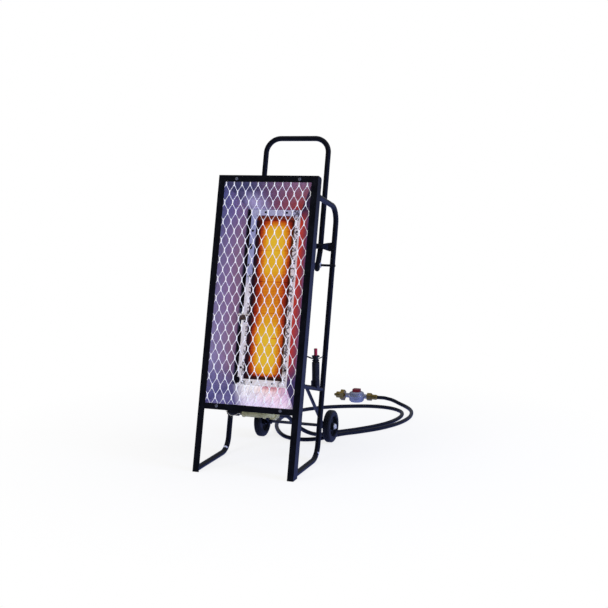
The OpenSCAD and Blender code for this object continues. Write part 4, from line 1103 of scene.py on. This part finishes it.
@dataclass
class Guard:
    """Expanded metal: slender diamonds between strands that fatten where they join. In millimetres."""

    half_width: float = 150.0
    low: float = 183.0
    high: float = 855.0
    front: float = 2.5
    thick: float = 1.5
    cell_x: float = 12.5
    cell_z: float = 28.0
    knuckle_w: float = 3.4
    knuckle_l: float = 7.0
    strand: float = 1.4
    net_half: float = 138.0
    net_low: float = 194.0
    net_high: float = 862.0
    shift: float = 8.0
    slices: int = 6
    merge: float = 0.02
    sliver: float = 0.005

    def _hole(self) -> list[Pair]:
        """Outline of one opening with rounded corners, anticlockwise from the right."""
        slope = (self.cell_z - self.knuckle_l) / self.cell_x
        cut = self.strand / 2 * math.sqrt(1 + slope * slope)
        side = self.cell_x - self.knuckle_w / 2
        shoulder = self.knuckle_l / 2 + slope * self.knuckle_w / 2 - cut
        run = self._outline(side, shoulder, self.cell_z - self.knuckle_l / 2 - cut)
        for _ in range(2):
            run = [
                tuple(0.5 * b + 0.25 * (a + c) for a, b, c in zip(before, now, after))
                for before, now, after in zip([run[-1], *run], run, [*run[1:], run[0]])
            ]
        return run

    def _outline(self, side: float, shoulder: float, tip: float) -> list[Pair]:
        """Return points along a six-sided outline, the same count on each side.

        Args:
            side: where its two upright sides are.
            shoulder: how far these reach up and down.
            tip: where its upper and lower corners are.

        Returns:
            The points, anticlockwise from the right.
        """
        corners = ((side, -shoulder), (side, shoulder), (0.0, tip), (-side, shoulder), (-side, -shoulder), (0.0, -tip))
        run = []
        for (ax, az), (bx, bz) in zip(corners, (*corners[1:], corners[0])):
            shares = (k / self.slices for k in range(self.slices))
            run += [(ax + (bx - ax) * t, az + (bz - az) * t) for t in shares]
        return run

    def build(self) -> None:
        """Weave the guard and put it in place of its plain sheet."""
        hole = self._hole()
        cell = self._outline(self.cell_x, self.knuckle_l / 2, self.cell_z - self.knuckle_l / 2)
        work = bmesh.new()
        rings = (
            (0.0, -0.25), (0.45, -0.12), (0.85, 0.35), (1.0, self.thick / 2),
            (0.85, self.thick - 0.3), (0.0, self.thick),
        )
        columns = math.ceil(self.net_half / self.cell_x)
        rows = math.ceil((self.net_high - self.net_low) / self.cell_z)
        cells = ((c, r) for c in range(-columns, columns + 1) for r in range(rows + 1) if (c + r) % 2)
        for column, row in cells:
            x0 = column * self.cell_x + self.shift
            z0 = self.net_high - row * self.cell_z
            layers = []
            for share, depth in rings:
                ring = []
                for (hx, hz), (cx, cz) in zip(hole, cell):
                    x = min(max(x0 + cx + (hx - cx) * share, -self.half_width), self.half_width)
                    z = min(max(z0 + cz + (hz - cz) * share, self.low), self.high)
                    ring.append(work.verts.new(on_frame(x, self.front + depth, z)))
                layers.append(ring)
            for a, b in zip(layers, layers[1:]):
                for i in range(len(hole)):
                    work.faces.new((a[i - 1], a[i], b[i], b[i - 1]))
        bmesh.ops.remove_doubles(work, verts=work.verts, dist=self.merge * MM)
        bmesh.ops.dissolve_degenerate(work, edges=work.edges, dist=self.sliver * MM)
        bmesh.ops.recalc_face_normals(work, faces=work.faces)
        mesh = bpy.data.meshes.new("guard_mesh")
        work.to_mesh(mesh)
        work.free()
        mesh.shade_smooth()
        made = link("guard_mesh", mesh, Paint.GUARD)
        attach(made, "frame")
        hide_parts("guard")
        log.info("guard: %d faces", len(mesh.polygons))


@dataclass
class CrossScrews:
    """Pan-head screws with a cross recess, in place of the plain ones. In millimetres."""

    name: str
    node: str
    finish: Finish
    head: float
    height: float
    shank: float
    length: float
    surface: float
    places: Sequence[Pair]
    arm: float = 0.55
    bar: float = 0.14
    sink: float = 0.62
    shallower: float = 0.25
    fall: float = 0.55
    first_turn: float = 0.4
    next_turn: float = 1.1
    rings: tuple[float, ...] = (0.07, 0.12, 0.15, 0.2, 0.28, 0.36, 0.44, 0.5, 0.54, 0.57, 0.66, 0.78, 0.9, 0.97)

    def _recess(self, turn: float) -> Callable[[float, float, float], float]:
        """Return the relief of a cross recess, turned by an angle."""
        arm, half = self.head * self.arm, self.head * self.bar

        def relief(x: float, y: float, height: float) -> float:
            """Sink what lies in either bar of the cross."""
            u = abs(x * math.cos(turn) + y * math.sin(turn))
            v = abs(y * math.cos(turn) - x * math.sin(turn))
            inside = height > 0 and max(u, v) < arm and min(u, v) < half
            return -self.height * (self.sink - self.shallower * max(u, v) / arm) if inside else 0.0

        return relief

    def build(self) -> None:
        """Turn the screws with their recesses and seat them."""
        solid = Shape()
        r, h = self.head, self.height
        dome = [(0.0, h), *((r * f, h * (1 - self.fall * f ** 4)) for f in self.rings), (r, 0.0),
                (self.shank, 0.0), (self.shank, -self.length), (0.0, -self.length)]
        for i, (x, along) in enumerate(self.places):
            recess = self._recess(self.first_turn + i * self.next_turn)
            solid.lathe(dome, on_frame(x, self.surface, along), -TO_THE_BACK, recess)
        screws = solid.piece(self.name, self.finish, "frame")
        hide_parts(self.node)
        log.info("%s: %d faces", self.name, len(screws.data.polygons))


@dataclass(frozen=True)
class Bead:
    """One weld bead of the right side, by its two ends on the frame. In millimetres."""

    start: Triple
    end: Triple
    radius: float
    seed: int


@dataclass
class Welds:
    """Painted weld beads where the tubes and bars meet the rails and each other, on both sides alike."""

    beads: tuple[Bead, ...] = (
        Bead((149.8, 30.2, 13.0), (149.8, 30.2, 22.0), 1.3, 13),
        Bead((149.8, 30.2, 796.0), (149.8, 30.2, 816.0), 1.3, 796),
        Bead((149.8, 30.2, 255.0), (149.8, 30.2, 275.0), 1.3, 255),
        Bead((130.0, 206.3, 676.0), (149.0, 207.2, 676.0), 1.2, -12),
        Bead((130.0, 206.3, 700.0), (149.0, 207.2, 700.0), 1.2, 12),
        Bead((136.5, 205.6, 628.6), (148.0, 205.6, 628.6), 0.9, 9),
        Bead((136.5, 205.6, 635.4), (148.0, 205.6, 635.4), 0.9, 9),
    )
    ring_middle: Triple = (142.5, 206.6, 265.0)
    ring_radius: float = 6.7
    ring_bead: float = 1.1
    ring_seed: int = 5

    def build(self) -> None:
        """Lay all the beads as one piece."""
        shape = Shape()
        for sign in (-1.0, 1.0):
            for bead in self.beads:
                line = [on_frame(sign * x, depth, along) for x, depth, along in (bead.start, bead.end)]
                shape.bead(line, bead.radius, bead.seed)
            x, depth, along = self.ring_middle
            ring = circle(on_frame(sign * x, depth, along), self.ring_radius, ACROSS, UP_THE_RAILS, 24)
            shape.bead(ring, self.ring_bead, self.ring_seed)
        welds = shape.piece("weld_beads", Paint.WELD, "frame")
        log.info("welds: %d faces", len(welds.data.polygons))


@dataclass
class FrontFrame:
    """Rails, tubes, bars and handle."""

    painted: tuple[str, ...] = (
        "rail_left", "rail_right", "rail_top", "rail_bottom", "side_tube_left", "side_tube_right", "crossbar",
        "handle", "side_bar_left", "side_bar_right", "strut_left", "strut_right", "axle_spacers", "igniter_cup",
    )
    screw_x: float = 97.0
    screw_rows: Pair = (190.5, 847.25)

    def build(self) -> None:
        """Dress the frame and add its welds and screws."""
        for node in self.painted:
            dress(Paint.FEET.get(node, Paint.FRAME), node)
        dress(Paint.ROD, "pivot_rod")
        dress(Paint.ZINC, "rod_washers", "frame_nuts")
        dress(Paint.PLUG, "handle_plugs")
        Welds().build()
        places = [(x, along) for along in self.screw_rows for x in (-self.screw_x, self.screw_x)]
        CrossScrews(
            "frame_screw_heads", "frame_screws", Paint.DULL_ZINC, head=4.5, height=2.4, shank=2.5, length=8.3,
            surface=0.0, places=places,
        ).build()
        log.info("frame: %d painted nodes", len(self.painted))


@dataclass
class Running:
    """Axle and wheels."""

    def build(self) -> None:
        """Dress the axle and the wheels."""
        dress(Paint.AXLE, "axle")
        dress(Paint.ZINC, "axle_caps")
        dress(Paint.TYRE, "tyre_left", "tyre_right")
        dress(Paint.HUB, "hub_left", "hub_right")
        log.info("wheels dressed")


@dataclass
class SlotShadeStrips:
    """Near-black ragged strips of painted shade in the slot between the reflector and the left side of the burner. In
    millimetres.
    """

    left: float = -89.2
    right: float = -77.4
    depth: float = 93.0
    thick: float = 2.0
    strips: int = 6
    pitch: float = 3.0
    swell: float = 2.2
    stretches: tuple[Pair, ...] = ((260.0, 428.0), (482.0, 774.0))

    def build(self) -> None:
        """Lay the painted shade in ragged strips above and below the pilot."""
        shape = Shape()
        row = self.strips + 1
        for low, high in self.stretches:
            steps = int((high - low) / self.pitch)
            first = len(shape.points)
            for k in range(steps + 1):
                along = low + (high - low) * k / steps
                for m in range(row):
                    x = self.left + (self.right - self.left) * m / self.strips
                    bulge = self.swell * noise.noise(Vector((x * 0.5, along * 0.3, 1.0)))
                    bulge += noise.noise(Vector((x, along, 4.0)))
                    shape.points.append(on_frame(x, self.depth + bulge, along))
            for k in range(steps):
                for a in range(first + k * row, first + k * row + self.strips):
                    shape.faces.append((a, a + 1, a + row + 1, a + row))
        shade_strips = shape.piece("slot_shade_strips", Paint.SLOT_SHADE, "frame")
        shade_strips.modifiers.new("Thickness", "SOLIDIFY").thickness = self.thick * MM
        graph = bpy.context.evaluated_depsgraph_get()
        mesh = bpy.data.meshes.new_from_object(shade_strips.evaluated_get(graph))
        shade_strips.modifiers.clear()
        shade_strips.data = mesh
        log.info("slot seal: %d faces", len(mesh.polygons))


@dataclass
class Burner:
    """Reflector sheets, clamping frame, tiles and plenum."""

    middle: float = 516.5
    half_w: float = 69.0
    half_h: float = 250.0
    side_shares: tuple[float, ...] = (0.083, 0.351, 0.619, 0.889)
    end_x: float = 33.0

    def _screws(self) -> list[Pair]:
        """Places of the clamping screws."""
        places = []
        for sign in (-1, 1):
            for share in self.side_shares:
                places.append((sign * self.half_w, self.middle + (share - 0.5) * 2 * self.half_h))
            places += [(sign * self.end_x, self.middle + end * self.half_h) for end in (-1, 1)]
        return places

    def build(self) -> None:
        """Dress the hot parts and seat their screws."""
        for sheet, finish in Paint.SHEETS.items():
            dress(finish, f"reflector_{sheet.value}")
        dress(Paint.CLAMP, "burner_frame")
        dress(Paint.GLOW, "burner_tiles")
        dress(Paint.PAPER, "burner_gasket")
        # Painted shade: dark strips in the slot left of the burner.
        SlotShadeStrips().build()
        dress(Paint.ALUMINISED, "burner_box", "mixing_tube", "jet_bracket")
        dress(Paint.BRACKET, "pilot_bracket")
        dress(Paint.PORCELAIN, "spark_electrode")
        dress(Paint.PROBE, "thermocouple")
        CrossScrews(
            "burner_screw_heads", "burner_screws", Paint.OXIDE, head=3.25, height=1.8, shank=1.7, length=10.0,
            surface=87.0, places=self._screws(),
        ).build()
        log.info("burner dressed")


@dataclass
class LeadLoop:
    """A slack white loop of the pilot's lead that hangs below the lower rail, left of the valve."""

    radius: float = 0.9
    route: tuple[Triple, ...] = (
        (-113.6, 105, 186), (-109.3, 105, 177), (-101.2, 105, 170.5), (-91.3, 105, 166.8), (-82, 105, 169.2),
        (-73, 106, 173.2), (-66.8, 109, 175.4),
    )

    def build(self) -> None:
        """Hang the loop."""
        path = spline([on_frame(*spot) for spot in self.route])
        loop = cable("pilot_lead_loop", path, self.radius * MM, Paint.BRAID, "frame")
        log.info("pilot lead loop: %d points", len(path))


@dataclass
class RegulatorRibs:
    """Grip ribs and a raised ring, cast round the dome of the regulator. Radius and height, in millimetres."""

    count: int = 24
    low: Pair = (25.9, 24.2)
    high: Pair = (24.7, 31.5)
    ring: Pair = (24.4, 32.2)
    tip: float = 0.4
    rib: float = 0.8
    ring_thick: float = 0.9

    def build(self) -> None:
        """Cast the ribs round the middle of the cap."""
        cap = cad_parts["regulator_cap"]
        corners = [cap.matrix_world @ Vector(c) for c in cap.bound_box]
        middle = sum(corners, Vector()) / len(corners)
        middle.z = 0.0
        shape = Shape()
        for k in range(self.count):
            a = math.tau * (k + 0.5) / self.count
            way = Vector((math.cos(a), math.sin(a), 0.0))
            foot, head = [middle + (way * r + Vector((0, 0, z))) * MM for r, z in (self.low, self.high)]
            line = [foot, foot.lerp(head, 0.2), foot.lerp(head, 0.8), head]
            shape.sweep(line, [r * MM for r in (self.tip, self.rib, self.rib, self.tip)])
        radius, height = self.ring
        run = circle(middle + Vector((0, 0, height * MM)), radius, ACROSS, Vector((0, 1, 0)), 72)
        shape.sweep(run, [self.ring_thick * MM] * len(run))
        ribs = shape.piece("regulator_ribs", Paint.CAST, "frame")
        log.info("regulator ribs: %d", self.count)


@dataclass
class GasTrain:
    """Valve, leads, igniter and regulator."""

    def build(self) -> None:
        """Dress the gas train."""
        dress(Paint.VALVE, "gas_jet", "gas_valve", "inlet_elbow", "hose_end_heater")
        dress(Paint.BRASS, "hose_end_regulator", "inlet_nipple", "inlet_nut")
        dress(Paint.BLACK, "valve_housing", "safety_button", "igniter_body", "igniter_nut")
        dress(Paint.RED, "igniter_button")
        dress(Paint.ROD, "igniter_stay")
        dress(Paint.BRAID, "thermocouple_lead")
        dress(Paint.CABLE, "ignition_cable")
        dress(Paint.CAST, "regulator_body")
        dress(Paint.CAP, "regulator_cap")
        dress(Paint.ZINC, "regulator_screws")
        LeadLoop().build()
        RegulatorRibs().build()
        log.info("gas train dressed")


def main() -> None:
    """Build the scene."""
    logging.basicConfig(level=logging.INFO, format="%(name)s: %(message)s")
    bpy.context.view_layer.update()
    Studio().build()
    GasHose().build()
    Guard().build()
    FrontFrame().build()
    Running().build()
    Burner().build()
    GasTrain().build()


if __name__ == "__main__":
    main()
